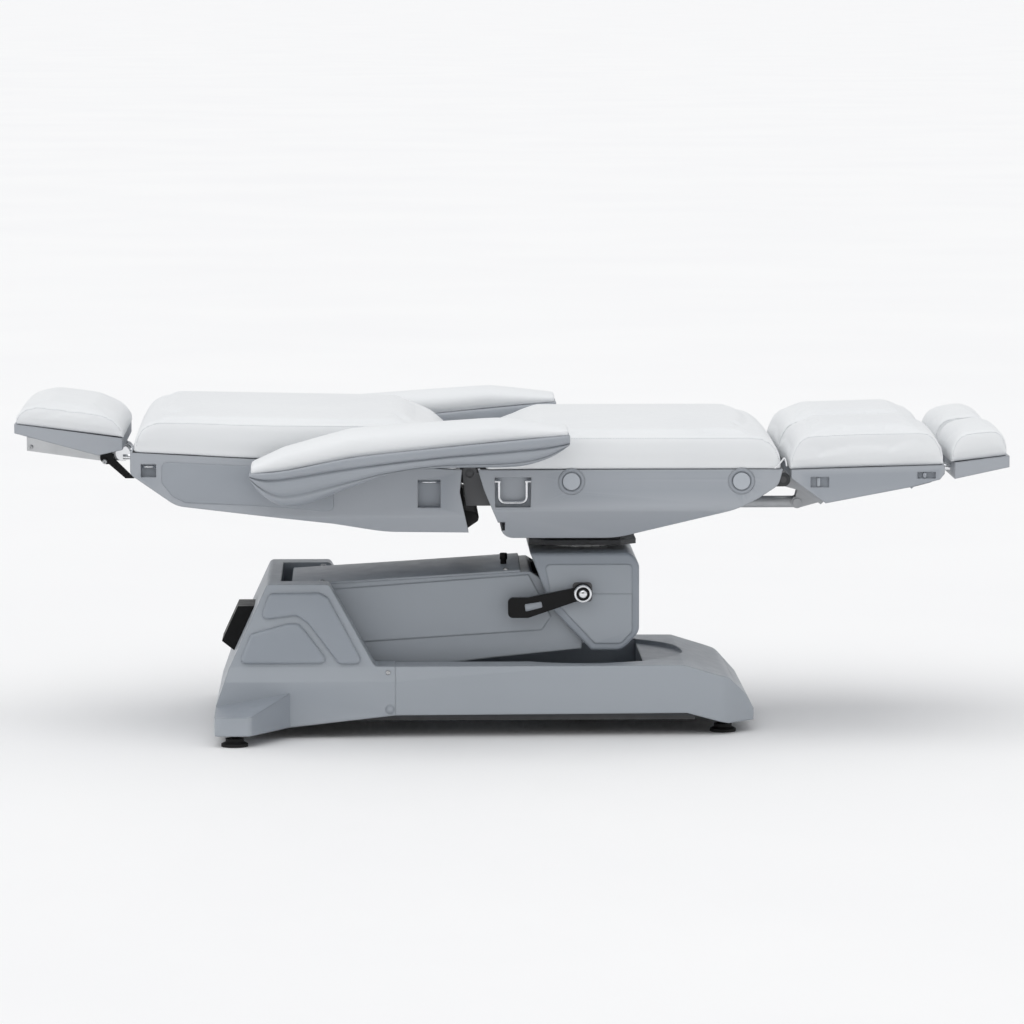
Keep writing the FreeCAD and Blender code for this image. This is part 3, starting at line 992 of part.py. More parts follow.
def seat_caps():
    caps = []
    face = S.shell_half_width - S.cap_recess
    for side, word in ((1, "left"), (-1, "right")):
        for x, z in cap_places():
            start = side * (face if side == 1 else face + S.cap_proud)
            caps.append(round_bar(f"cap_{word}_{len(caps)}", S.cap_radius, (x, start, z), "Y", S.cap_proud))
    group("seat_caps", caps)


def seat_frame():
    frame = Piece("seat_frame")
    half_rail = S.seat_rail / 2
    wide = S.seat_rail_y + half_rail
    frame.pad("XY_Plane", box(S.swivel_x - S.seat_plate_half_length, S.swivel_x + S.seat_plate_half_length,
                              -wide,
                              wide), S.seat_frame_plate, seat_plate_z + S.seat_frame_plate / 2)
    rail = [(S.swivel_x - S.seat_plate_half_length, seat_plate_z), (S.swivel_x + S.seat_plate_half_length,
                                                                   seat_plate_z),
            (S.seat_rail_front_x, S.front_tube_z), (S.seat_rail_front_x, S.seat_rail_top_z),
            (S.seat_rail_rear_x, S.seat_rail_top_z), (S.seat_rail_rear_x, S.rear_tube_z)]
    for side in (1, -1):
        frame.pad("XZ_Plane", rail, S.seat_rail, side * S.seat_rail_y)
    tube = S.cross_tube
    frame.pad("XZ_Plane", box(S.seat_rail_rear_x, S.seat_rail_rear_x + tube, S.rear_tube_z,
                              S.rear_tube_z + tube),
              2 * tube_half_length)
    frame.pad("XZ_Plane", box(S.front_tube_x, S.front_tube_x + tube, S.front_tube_z, S.front_tube_z + tube),
              2 * (S.shell_half_width - S.shell_wall))
    boss_drop = seat_plate_z - S.seat_floor_z - S.shell_wall
    for side in (1, -1):
        y = side * S.frame_boss_y
        frame.pad("XY_Plane", box(S.swivel_x - S.frame_boss_length / 2, S.swivel_x + S.frame_boss_length / 2,
                                  y - S.frame_boss_width / 2, y + S.frame_boss_width / 2), boss_drop,
                  seat_plate_z - boss_drop / 2)
    ear = [(S.front_tube_x + tube / 2, S.leg_hinge_z - S.leg_ear_radius),
           (S.leg_hinge_x, S.leg_hinge_z - S.leg_ear_radius), (S.leg_hinge_x,
                                                               S.leg_hinge_z + S.leg_ear_radius),
           (S.front_tube_x + tube / 2, S.leg_hinge_z + S.leg_ear_radius)]
    lug_x = S.strut_lug_x
    lug = [(lug_x, S.clevis_z - 2 * S.strut_rod_radius), (lug_x + S.strut_lug,
                                                          S.clevis_z - 2 * S.strut_rod_radius),
           (lug_x + S.strut_lug, S.clevis_z + 2 * S.strut_rod_radius),
           (lug_x, S.clevis_z + 2 * S.strut_rod_radius)]
    rod_end = S.clevis_x - S.strut_length + S.strut_rod_overlap
    for side in (1, -1):
        for y in (seat_ear_y, S.inner_ear_y):
            frame.pad("XZ_Plane", ear, S.seat_ear, side * y)
            frame.disc("XZ_Plane", S.leg_ear_radius, [leg_hinge], S.seat_ear, side * y)
        reach = clevis_y + 2 * S.strut_rod_radius - S.seat_rail_y
        frame.pad("XZ_Plane", lug, reach, side * (S.seat_rail_y + reach / 2))
        frame.disc("YZ_Plane", S.strut_rod_radius, [(side * clevis_y, S.clevis_z)], rod_end - lug_x,
                   (rod_end + lug_x) / 2)
    frame.bore("XZ_Plane", S.leg_pin_radius + S.fit, [leg_hinge])


def hinge_guards():
    guards = []
    tube_front = S.seat_rail_rear_x + S.cross_tube
    outline = [
        (S.back_hinge_x - S.guard_radius, S.back_hinge_z), (S.back_hinge_x - S.guard_radius / 2,
                                                            S.guard_low_z),
        (tube_front, S.guard_low_z), (tube_front, S.rear_tube_z + S.cross_tube),
        (S.back_hinge_x + S.guard_radius, S.back_hinge_z)]
    for side, word in ((1, "left"), (-1, "right")):
        plate = Piece(f"hinge_guard_{word}")
        del PIECES[plate.body.Label]
        plate.pad("XZ_Plane", outline, S.guard, side * guard_y)
        plate.disc("XZ_Plane", S.guard_radius, [back_hinge], S.guard, side * guard_y)
        plate.bore("XZ_Plane", S.hinge_pin_radius + S.fit, [back_hinge])
        guards.append(plate.body)
    group("hinge_guards", guards)


def hinge_pins():
    pins = []
    back_half = S.back_ear + S.guard + S.slide_gap
    back_start = back_ear_y - S.back_ear / 2 - S.slide_gap
    leg_half = S.seat_ear + S.leg_ear + S.ear_gap
    for side in (1, -1):
        start = side * (back_start if side == 1 else back_start + back_half)
        pins.append(round_bar(f"back_pin_{len(pins)}", S.hinge_pin_radius, (*split(back_hinge, start),), "Y",
                              back_half))
        outer = seat_ear_y + S.seat_ear / 2 - leg_half
        inner = S.inner_ear_y - S.seat_ear / 2
        for low in (outer, inner):
            start = side * (low if side == 1 else low + leg_half)
            pins.append(round_bar(f"leg_pin_{len(pins)}", S.leg_pin_radius, (*split(leg_hinge, start),), "Y",
                                  leg_half))
    group("hinge_pins", pins)


def split(place, y):
    """A point in space from a place in the side view and a distance across."""
    return (place[0], y, place[1])


def back_motor():
    motor = Piece("back_motor")
    rear = S.back_motor_rear_x
    motor.disc("YZ_Plane", S.back_motor_radius, [(0, S.back_motor_z)], S.back_motor_length,
               rear + S.back_motor_length / 2)
    saddle = S.back_motor_z - seat_plate_z - S.seat_frame_plate
    motor.pad("XY_Plane", box(S.swivel_x - S.back_motor_radius, S.swivel_x + S.back_motor_radius,
                              -S.back_motor_radius, S.back_motor_radius), saddle,
              seat_plate_z + S.seat_frame_plate + saddle / 2)
    bore = S.back_rod_inside + S.slide_gap
    motor.bore("YZ_Plane", S.back_rod_radius + S.fit, [(0, S.back_motor_z)], 2 * bore, rear)
    rod = Piece("back_rod")
    eye_x = S.back_hinge_x + S.back_lever_run
    length = rear + S.back_rod_inside - eye_x
    rod.disc("YZ_Plane", S.back_rod_radius, [(0, S.back_motor_z)], length, eye_x + length / 2)
    rod.disc("XZ_Plane", S.back_eye_radius, [(eye_x, S.back_motor_z)], S.back_eye_width)
    rod.bore("XZ_Plane", S.back_eye_radius / 2, [(eye_x, S.back_motor_z)])


def d_rings():
    """A bent wire ring that hangs from two short axle ends in the sides of its pocket."""
    wire = S.ring_wire.value
    left = S.ring_x.value - S.ring_half_width.value
    right = S.ring_x.value + S.ring_half_width.value
    top = S.ring_top_z.value
    low = top - S.ring_drop.value
    y = -ring_axle_y.value
    corner = 4 * wire
    diagonal = corner * (1 - 0.5 ** 0.5)

    def point(x, z):
        return Vector(x, y, z)

    axle = S.ring_pocket_half_top.value + S.pocket_wall.value / 2 - S.ring_half_width.value
    path = Part.Wire([
        Part.LineSegment(point(left, top), point(left, low + corner)).toShape(),
        Part.Arc(point(left, low + corner), point(left + diagonal, low + diagonal),
                 point(left + corner, low)).toShape(),
        Part.LineSegment(point(left + corner, low), point(right - corner, low)).toShape(),
        Part.Arc(point(right - corner, low), point(right - diagonal, low + diagonal),
                 point(right, low + corner)).toShape(),
        Part.LineSegment(point(right, low + corner), point(right, top)).toShape()])
    profile = Part.Wire([Part.Circle(point(left, top), Vector(0, 0, 1), wire).toShape()])
    ring = path.makePipeShell([profile], True, False)
    for x in (left - axle, right - wire):
        ring = ring.fuse(Part.makeCylinder(wire, axle + wire, point(x, top), Vector(1, 0, 0)))
    piece = doc.addObject("Part::Feature", "d_ring_right")
    piece.Shape = ring.removeSplitter()
    PIECES["d_ring_right"] = piece
    mirrored("d_ring_left", "d_ring_right")


def back_shell():
    shell = Piece("back_shell")
    shell.pad("XZ_Plane", [
        (S.back_head_x, S.back_head_z), (S.back_head_x, S.back_lip_z), (S.back_slope_x, S.back_slope_z),
        (S.back_floor_x, S.back_floor_z), (S.back_belly_x, S.back_belly_z), (S.back_mouth_x, S.back_mouth_z),
        (S.back_waist_x, S.back_waist_z), (S.back_foot_x, S.deck_z)], 2 * S.shell_half_width)
    shell.fillet(S.back_lip_round, edge_along("Y", (S.back_head_x, S.back_lip_z)))
    shell.fillet(S.back_belly_round, edge_along("Y", (S.back_slope_x, S.back_slope_z)))
    shell.fillet(S.back_keel_round, edge_along("Y", (S.back_belly_x, S.back_belly_z)))
    low = S.back_mouth_z - S.shell_wall
    crease = S.back_belly_z + S.tuck_depth / 2
    half = S.shell_half_width
    shell.cuts("YZ_Plane", both_sides([
        (half, crease), (half - S.shell_tuck / 2, low), (half + S.shell_wall, low), (half + S.shell_wall,
                                                                                     crease)]))
    shell.fillet(S.back_crease_round, edge_along("X", (half, crease), (-half, crease)))

    def open_face(face):
        centre = face.CenterOfMass
        middle = [(a + b) / 2 for a, b in zip(face.ParameterRange[::2], face.ParameterRange[1::2])]
        normal = face.normalAt(*middle)
        return normal.z > 0.9 or (normal.x > 0.9 and centre.x > S.back_waist_x.value - 1)

    shell.hollow(S.shell_wall, open_face)
    boss = S.pocket_depth + S.pocket_wall
    rim = S.pocket_wall
    pockets = ((S.side_slot_x, S.side_slot_half, S.side_slot_low_z, S.side_slot_top_z),
               (S.side_pocket_x, S.side_pocket_half, S.side_pocket_low_z, S.side_pocket_top_z))
    for side in (1, -1):
        for x, wide, bottom, top in pockets:
            shell.pad("XZ_Plane", box(x - wide - rim, x + wide + rim, bottom - rim, top + rim), boss,
                      side * (half - boss / 2))
            shell.cut("XZ_Plane", box(x - wide, x + wide, bottom, top), 2 * S.pocket_depth, side * half)
        shell.disc("XZ_Plane", S.trunnion_collar, [(S.armrest_pivot_x, S.armrest_pivot_z)], S.trunnion_inside,
                   side * (half - S.trunnion_inside / 2))
        shell.bore("XZ_Plane", S.trunnion_radius + S.fit, [(S.armrest_pivot_x, S.armrest_pivot_z)],
                   4 * S.trunnion_inside, side * half)
    rods = [(S.socket_y, S.rod_z), (-S.socket_y, S.rod_z)]
    shell.bore("YZ_Plane", S.socket_radius + S.frame_clearance, rods, 8 * S.shell_wall, S.back_head_x)


def back_frame():
    frame = Piece("back_frame")
    low = S.back_rail_low_z
    top = S.back_rail_top_z
    for side in (1, -1):
        frame.pad("XZ_Plane", box(S.back_rail_head_x, S.back_tube_x + S.cross_tube, low, top), S.back_rail,
                  side * S.back_rail_y)
    wide = 2 * (back_ear_y + S.back_ear / 2)
    frame.pad("XZ_Plane", box(S.back_tube_x, S.back_tube_x + S.cross_tube, low, top), wide)
    frame.pad("XZ_Plane", box(S.head_tube_x, S.head_tube_x + S.cross_tube, low, top),
              2 * (S.shell_half_width - S.shell_wall))
    frame.pad("XZ_Plane", box(S.socket_inner_x, S.socket_inner_x + S.cross_tube, low, top + S.socket_radius),
              2 * S.back_rail_y)
    ear = [(S.back_tube_x, low), (S.back_hinge_x, S.back_hinge_z - S.back_ear_radius), back_hinge,
           (S.back_tube_x, top)]
    for side in (1, -1):
        frame.pad("XZ_Plane", ear, S.back_ear, side * back_ear_y)
        frame.disc("XZ_Plane", S.back_ear_radius, [back_hinge], S.back_ear, side * back_ear_y)
    frame.bore("XZ_Plane", S.hinge_pin_radius + S.fit, [back_hinge])
    tip_x = S.back_hinge_x + S.back_lever_run
    tip_z = S.back_hinge_z - S.back_lever_drop
    half = S.back_lever_half
    lever = [(S.back_tube_x + S.cross_tube / 2, low), (tip_x - half, tip_z - half), (tip_x + half,
                                                                                     tip_z - half),
             (tip_x + half, tip_z + half), (S.back_tube_x + S.cross_tube, top)]
    for side in (1, -1):
        frame.pad("XZ_Plane", lever, S.back_lever, side * S.back_lever_y)
    sockets = [(S.socket_y, S.rod_z), (-S.socket_y, S.rod_z)]
    run = S.socket_inner_x - S.socket_outer_x
    middle = (S.socket_inner_x + S.socket_outer_x) / 2
    frame.disc("YZ_Plane", S.socket_radius, sockets, run, middle)
    frame.bore("YZ_Plane", S.rod_radius + S.fit, sockets, 2 * run, middle)


def armrest_outline(rump=0, heel=0, sole=0, waist=0, front=0, nose=0):
    """The armrest shell seen from the side, with the points of its lower edge lifted."""
    return [
        (S.arm_rear_x, S.arm_rear_z), (S.arm_rump_x, S.arm_rump_z + rump), (S.arm_heel_x,
                                                                            S.arm_heel_z + heel),
        (S.arm_sole_x, S.arm_heel_z + sole), (S.arm_waist_x, S.arm_waist_z + waist),
        (S.arm_flat_x, S.arm_flat_z + waist / 2), (S.arm_front_x, S.arm_flat_z + front),
        (S.arm_nose_x, S.arm_nose_z + nose), (S.arm_tip_x, S.arm_tip_z),
        (S.arm_pad_front_x, S.arm_pad_front_z), (S.arm_pad_mid_x, S.arm_pad_mid_z),
        (S.arm_pad_rear_x, S.arm_pad_rear_z)]


def armrests():
    """The outer side steps out in two bands, so that two creases sweep along it."""
    shell = Piece("armrest_shell_right")
    full = armrest_outline()
    middle_band = armrest_outline(S.sole_band_rump, S.sole_band_heel, S.sole_band_sole, S.sole_band_waist)
    upper_band = armrest_outline(S.brow_band_rump, S.brow_band_heel, S.brow_band_sole, S.brow_band_waist,
                                 S.brow_band_front, S.brow_band_nose)
    shell.loft("Additive", "XZ_Plane", [
        (-arm_inner_y, full), (2 * S.armrest_band - arm_outer_y, full), (S.armrest_band - arm_outer_y,
                                                                         middle_band),
        (-arm_outer_y, upper_band)])
    length = arm_inner_y - S.shell_half_width + S.trunnion_inside + S.arm_pad_inset
    shell.disc("XZ_Plane", S.trunnion_radius, [(S.armrest_pivot_x, S.armrest_pivot_z)], length,
               -(S.shell_half_width - S.trunnion_inside + length / 2))
    mirrored("armrest_shell_left", "armrest_shell_right")


def headrest():
    bracket = Piece("headrest_bracket")
    rods = [(S.socket_y, S.rod_z), (-S.socket_y, S.rod_z)]
    run = S.rod_inner_x - S.rod_out_x
    bracket.disc("YZ_Plane", S.rod_radius, rods, run, (S.rod_inner_x + S.rod_out_x) / 2)
    for side in (1, -1):
        bracket.disc("XZ_Plane", S.tilt_ear_radius, [(S.tilt_x, S.tilt_z)], S.tilt_ear, side * S.socket_y)
    bracket.disc("XZ_Plane", S.tilt_pin_radius, [(S.tilt_x, S.tilt_z)], 2 * S.socket_y)
    bars = []
    under = (S.rest_far_low_z - S.rest_low_z) / (S.rest_low_x - S.rest_far_x)
    pad_z = S.rest_low_z + under * (S.rest_low_x - S.rail_pad_x)
    outline = [(S.rail_far_x, S.rail_far_low_z), (S.rail_near_x, S.rail_near_low_z),
               (S.tilt_x, S.tilt_z - S.tilt_ear_radius), (S.tilt_x + 2 * S.tilt_pin_radius, S.tilt_z),
               (S.tilt_x, S.tilt_z + 2 * S.tilt_pin_radius), (S.rest_low_x, S.rest_low_z), (S.rail_pad_x,
                                                                                            pad_z),
               (S.rail_pad_x - S.rail_notch, pad_z - S.rail_notch / 3), (S.rail_far_x, S.rail_far_top_z)]
    for side, word in ((1, "left"), (-1, "right")):
        bar = Piece(f"headrest_rail_{word}")
        del PIECES[bar.body.Label]
        bar.pad("XZ_Plane", outline, S.rail_bar, side * S.rail_bar_y)
        bar.bore("XZ_Plane", S.tilt_pin_radius + S.fit, [(S.tilt_x, S.tilt_z)])
        bar.bore("XZ_Plane", S.grip_pin_radius + S.fit, [(S.grip_x, S.grip_z)])
        bars.append(bar.body)
    group("headrest_rails", bars)
    shell = Piece("headrest_shell")
    half = S.rest_half_width - S.rest_shell_inset
    shell.pad("XZ_Plane", [
        (S.rest_far_x, S.rest_far_z), (S.rest_far_x, S.rest_far_low_z), (S.rest_low_x, S.rest_low_z),
        (S.rest_near_x, S.rest_heel_z), (S.rest_near_x, S.rest_near_z)], 2 * half)
    lever = Piece("headrest_lever")
    tip = (S.grip_x + S.grip_reach, S.grip_z - S.grip_fall)
    lever.pad("XZ_Plane", [
        (S.grip_x - S.grip_half, S.grip_z), (tip[0] - S.grip_half, tip[1]), (tip[0] + S.grip_half / 2,
                                                                             tip[1]),
        (S.grip_x + S.grip_half, S.grip_z)], S.grip_thick, S.grip_y)
    lever.disc("XZ_Plane", S.grip_eye_radius, [(S.grip_x, S.grip_z)], S.grip_thick, S.grip_y)
    pin = -S.grip_y - S.rail_bar_y + S.rail_bar / 2
    lever.disc("XZ_Plane", S.grip_pin_radius, [(S.grip_x, S.grip_z)], pin, S.grip_y + pin / 2)


def leg_rests():
    shell = Piece("leg_shell_right")
    middle = -(S.leg_inner_y + leg_outer_y) / 2
    width = leg_outer_y - S.leg_inner_y
    shell.pad("XZ_Plane", [
        (S.leg_root_x, S.leg_deck_rear_z), (S.leg_root_x, S.leg_root_z), (S.leg_keel_x, S.leg_keel_z),
        (S.leg_belly_x, S.leg_belly_z), (S.leg_chin_x, S.leg_chin_z), (S.leg_end_x, S.leg_end_low_z),
        (S.leg_end_x, S.leg_deck_end_z)], width, middle)
    runners = [(middle - S.runner_spread, S.runner_z), (middle + S.runner_spread, S.runner_z)]
    shell.bore("YZ_Plane", S.runner_radius + S.fit, runners, 2 * (S.runner_inside + S.foot_gap), S.leg_end_x)
    slots = [box(S.leg_slot_x - S.leg_slot_half, S.leg_slot_x + S.leg_slot_half, S.leg_slot_low_z,
                 S.leg_slot_top_z),
             box(S.toe_slot_x - S.leg_slot_half, S.toe_slot_x + S.leg_slot_half, S.toe_slot_low_z,
                 S.toe_slot_top_z)]
    shell.cuts("XZ_Plane", slots, 2 * S.leg_slot_depth, -leg_outer_y)
    hang = [(S.paddle_x - S.paddle_lug_half, S.paddle_z), (S.paddle_x, S.paddle_z - S.paddle_lug_half),
            (S.paddle_x + S.paddle_lug_half, S.paddle_z),
            (S.paddle_x + S.paddle_lug_half, S.paddle_z + S.paddle_lug_rise),
            (S.paddle_x - S.paddle_lug_half, S.paddle_z + S.paddle_lug_rise)]
    for side in (1, -1):
        lug_y = middle + side * (S.paddle_half_width + S.slide_gap + S.paddle_lug / 2)
        shell.pad("XZ_Plane", hang, S.paddle_lug, lug_y)
    shell.bore("XZ_Plane", S.paddle_pin_radius + S.fit, [(S.paddle_x, S.paddle_z)])
    mirrored("leg_shell_left", "leg_shell_right")
    bracket = Piece("leg_bracket_right")
    slab = [(S.leg_root_x, S.leg_root_z), (S.leg_keel_x, S.leg_keel_z),
            (S.leg_keel_x - S.bracket, S.leg_keel_z - S.bracket), (S.leg_root_x - S.bracket,
                                                                   S.leg_root_z - S.bracket)]
    step = S.seat_ear / 2 + S.ear_gap + S.leg_ear / 2
    slab_outer = seat_ear_y - step + S.leg_ear / 2
    slab_inner = S.inner_ear_y + step - S.leg_ear / 2
    bracket.pad("XZ_Plane", slab, slab_outer - slab_inner, -(slab_outer + slab_inner) / 2)
    ear = [(S.leg_hinge_x, S.leg_hinge_z - S.leg_ear_radius), (S.leg_keel_x - 6 * S.bracket,
                                                               S.leg_keel_z + 3 * S.bracket),
           (S.leg_root_x, S.leg_root_z), (S.leg_hinge_x, S.leg_hinge_z + S.leg_ear_radius)]
    for y in (-(seat_ear_y - step), -(S.inner_ear_y + step)):
        bracket.pad("XZ_Plane", ear, S.leg_ear, y)
        bracket.disc("XZ_Plane", S.leg_ear_radius, [leg_hinge], S.leg_ear, y)
    clevis = (S.clevis_x, S.clevis_z)
    cheek = [(S.clevis_x, S.clevis_z - S.clevis_radius), (S.leg_keel_x - S.bracket,
                                                          S.leg_keel_z - S.bracket / 2),
             (S.leg_root_x + 3 * S.bracket, S.leg_root_z - 3 * S.bracket),
             (S.clevis_x - S.clevis_radius / 2, S.clevis_z)]
    bolt = S.clevis_bolt_head
    for side in (1, -1):
        y = -clevis_y + side * (S.clevis_half_gap + S.clevis_ear / 2)
        bracket.pad("XZ_Plane", cheek, S.clevis_ear, y)
        bracket.disc("XZ_Plane", S.clevis_radius, [clevis], S.clevis_ear, y)
        bracket.disc("XZ_Plane", S.clevis_bolt_radius, [clevis], bolt,
                     y + side * (S.clevis_ear / 2 + bolt / 2))
    bracket.bore("XZ_Plane", S.leg_pin_radius + S.fit, [leg_hinge])
    mirrored("leg_bracket_left", "leg_bracket_right")
    strut = Piece("strut_cylinder_right")
    place = [(-clevis_y, S.clevis_z)]
    strut.disc("YZ_Plane", S.strut_radius, place, S.strut_length, S.clevis_x - S.strut_length / 2)
    strut.disc("XZ_Plane", S.strut_eye_radius, [clevis], 2 * S.strut_eye_radius, -clevis_y)
    strut.bore("YZ_Plane", S.strut_rod_radius + S.fit, place, 2 * (S.strut_length - 2 * S.strut_eye_radius),
               S.clevis_x - S.strut_length)
    mirrored("strut_cylinder_left", "strut_cylinder_right")
    paddle = Piece("leg_release_right")
    paddle.disc("XZ_Plane", S.paddle_boss_radius, [(S.paddle_x, S.paddle_z)], 2 * S.paddle_half_width, middle)
    paddle.pad("XZ_Plane", [
        (S.paddle_x, S.paddle_z - S.paddle_boss_radius), (S.paddle_x + S.paddle_reach,
                                                          S.paddle_z + S.paddle_rise),
        (S.paddle_x + S.paddle_reach, S.paddle_z + S.paddle_rise + S.paddle_thick),
        (S.paddle_x, S.paddle_z)], 2 * S.paddle_half_width, middle)
    paddle.disc("XZ_Plane", S.paddle_pin_radius, [(S.paddle_x, S.paddle_z)],
                2 * (S.paddle_half_width + S.slide_gap + S.paddle_lug), middle)
    mirrored("leg_release_left", "leg_release_right")


def foot_rests():
    rear = S.leg_end_x + S.foot_gap
    middle = -(S.foot_inner_y + foot_outer_y) / 2
    shell = Piece("footrest_shell_right")
    shell.pad("XZ_Plane", [
        (rear, S.foot_deck_rear_z), (rear, S.foot_low_rear_z), (S.foot_end_x, S.foot_low_end_z),
        (S.foot_end_x, S.foot_deck_end_z)], foot_outer_y - S.foot_inner_y, middle)
    leg_middle = -(S.leg_inner_y + leg_outer_y) / 2
    runners = [(leg_middle - S.runner_spread, S.runner_z), (leg_middle + S.runner_spread, S.runner_z)]
    shell.bore("YZ_Plane", S.runner_radius + S.fit, runners, 2 * (S.runner_grip + S.fit), rear)
    mirrored("footrest_shell_left", "footrest_shell_right")
    start = S.leg_end_x - S.runner_inside
    length = rear + S.runner_grip - start
    bars = [round_bar(f"runner_{index}", S.runner_radius, (start, y, z), "X", length)
            for index, (y, z) in enumerate(runners)]
    group("footrest_rails_right", bars)
    mirrored("footrest_rails_left", "footrest_rails_right")


def cushion_section(x, y, half, low, seam, crown):
    """An upright section of a cushion: flat underside, sides drawn in at the bottom, arched top."""
    tuck = S.pad_tuck.value
    shoulder = min(S.pad_shoulder.value, half / 3)
    bottom = [Vector(x, y - half + tuck, low), Vector(x, y + half - tuck, low)]
    edge = [Vector(x, y - half + shoulder / 4, seam), Vector(x, y + half - shoulder / 4, seam)]
    waist = low + (seam - low) * WAIST_SHARE
    return Part.Wire([
        Part.LineSegment(bottom[0], bottom[1]).toShape(),
        Part.Arc(bottom[1], Vector(x, y + half, waist), edge[1]).toShape(),
        Part.Arc(edge[1], Vector(x, y, crown), edge[0]).toShape(),
        Part.Arc(edge[0], Vector(x, y - half, waist), bottom[0]).toShape()])


def cushion(label, y, half, stations):
    """A cushion lofted through upright sections: place, underside, seam height and crown height of each."""
    sections = [cushion_section(x, y, half, low, seam, crown) for x, low, seam, crown in stations]
    pad = doc.addObject("Part::Feature", label)
    pad.Shape = Part.makeLoft(sections, True, True)
    PIECES[label] = pad


def between(a, b, share):
    return a + (b - a) * share


END_SHAPE = ((0.0, 0.28), (0.06, 0.46), (0.16, 0.64), (0.33, 0.81), (0.6, 0.94), (1.0, 1.0))
VALLEY_SHAPE = ((0.0, 0.20), (0.07, 0.35), (0.18, 0.53), (0.36, 0.74), (0.62, 0.91), (1.0, 1.0))
PLAIN_SHARES = (0.25, 0.5, 0.75)
WAIST_SHARE = 0.55
SEAM_SHARE = 0.7


def flat_cushion(label, y, half, ends, lows, rises, crown, runs, shapes=(END_SHAPE, END_SHAPE)):
    """A cushion on a straight deck line whose ends roll down over a run at each end."""
    (x0, x1), (run0, run1) = ends, runs
    places = [(x0 + run0 * share, fill) for share, fill in shapes[0]]
    places += [(between(x0 + run0, x1 - run1, share), 1.0) for share in PLAIN_SHARES]
    places += [(x1 - run1 * share, fill) for share, fill in reversed(shapes[1])]
    stations = []
    for x, fill in places:
        share = (x - x0) / (x1 - x0)
        low = between(lows[0], lows[1], share)
        rise = between(rises[0], rises[1], share)
        stations.append((x, low, low + rise * fill, low + (rise + crown) * fill))
    cushion(label, y, half, stations)


def on_back_deck(x):
    """Height of the back shell's sloping rim at a place along it."""
    run = S.back_foot_x.value - S.back_head_x.value
    return between(S.back_head_z.value, S.deck_z.value, (x - S.back_head_x.value) / run)


def cushions():
    gap = S.pad_gap.value
    deck = S.deck_z.value + gap
    flat_cushion("seat_cushion", 0, pad_half.value, (S.seat_pad_rear_x.value, S.seat_pad_front_x.value),
                 (deck, deck), [S.seat_pad_seam_z.value - deck] * 2,
                 S.seat_pad_crown_z.value - S.seat_pad_seam_z.value,
                 (S.seat_pad_rear_run.value, S.seat_pad_front_run.value), (VALLEY_SHAPE, END_SHAPE))
    flat_cushion("back_cushion", 0, pad_half.value, (S.back_pad_head_x.value, S.back_pad_foot_x.value),
                 (on_back_deck(S.back_pad_head_x.value) + gap, on_back_deck(S.back_pad_foot_x.value) + gap),
                 (S.back_pad_head_rise.value, S.back_pad_foot_rise.value), S.back_pad_crown.value,
                 (S.back_pad_head_run.value, S.back_pad_foot_run.value), (END_SHAPE, VALLEY_SHAPE))
    flat_cushion("headrest_cushion", 0, S.rest_half_width.value,
                 (S.rest_pad_far_x.value, S.rest_pad_near_x.value),
                 (S.rest_far_z.value + gap, S.rest_near_z.value + gap), [S.rest_pad_seam_rise.value] * 2,
                 S.rest_pad_crown.value, (S.rest_pad_run.value, S.rest_pad_run.value))
    leg_y = -(S.leg_pad_inner_y.value + leg_pad_outer_y.value) / 2
    leg_half = (leg_pad_outer_y.value - S.leg_pad_inner_y.value) / 2
    flat_cushion("leg_cushion_right", leg_y, leg_half, (S.leg_pad_rear_x.value, S.leg_pad_end_x.value),
                 (S.leg_deck_rear_z.value + gap, S.leg_deck_end_z.value + gap),
                 [S.leg_pad_seam_rise.value] * 2,
                 S.leg_pad_crown.value, (S.leg_pad_run.value, S.leg_pad_run.value))
    mirrored("leg_cushion_left", "leg_cushion_right")
    foot_y = -(S.foot_inner_y.value + foot_outer_y.value) / 2
    foot_half = (foot_outer_y.value - S.foot_inner_y.value) / 2
    flat_cushion("footrest_cushion_right", foot_y, foot_half, (S.foot_pad_rear_x.value,
                                                               S.foot_pad_end_x.value),
                 (S.foot_deck_rear_z.value + gap, S.foot_deck_end_z.value + gap),
                 [S.foot_pad_seam_rise.value] * 2,
                 S.foot_pad_crown.value, (S.foot_pad_run.value, S.foot_pad_run.value))
    mirrored("footrest_cushion_left", "footrest_cushion_right")
    armrest_pads()


def armrest_pads():
    middle = -(arm_inner_y.value + arm_outer_y.value) / 2
    half = (arm_outer_y.value - arm_inner_y.value) / 2 - S.arm_pad_inset.value / 2
    gap = S.arm_pad_gap.value
    places = [
        (S.arm_rear_x.value, S.arm_rear_z.value, S.arm_rear_z.value + S.arm_pad_rear_rise.value),
        (S.arm_pad_rear_x.value, S.arm_pad_rear_z.value, S.arm_crown_rear_z.value),
        (S.arm_pad_mid_x.value, S.arm_pad_mid_z.value, S.arm_crown_mid_z.value),
        (S.arm_pad_front_x.value, S.arm_pad_front_z.value, S.arm_crown_front_z.value),
        (S.arm_tip_x.value, S.arm_tip_z.value, S.arm_tip_z.value + S.arm_pad_tip_rise.value)]
    stations = [(x, low + gap, between(low, top, SEAM_SHARE), top) for x, low, top in places]
    sections = [cushion_section(x, middle, half, low, seam, top) for x, low, seam, top in stations]
    pad = doc.addObject("Part::Feature", "armrest_pad_right")
    pad.Shape = Part.makeLoft(sections, True, True)
    PIECES["armrest_pad_right"] = pad
    mirrored("armrest_pad_left", "armrest_pad_right")


def sound(shape):
    """A shape that can be written: valid and with at least one solid."""
    return not shape.isNull() and shape.isValid() and len(shape.Solids) > 0


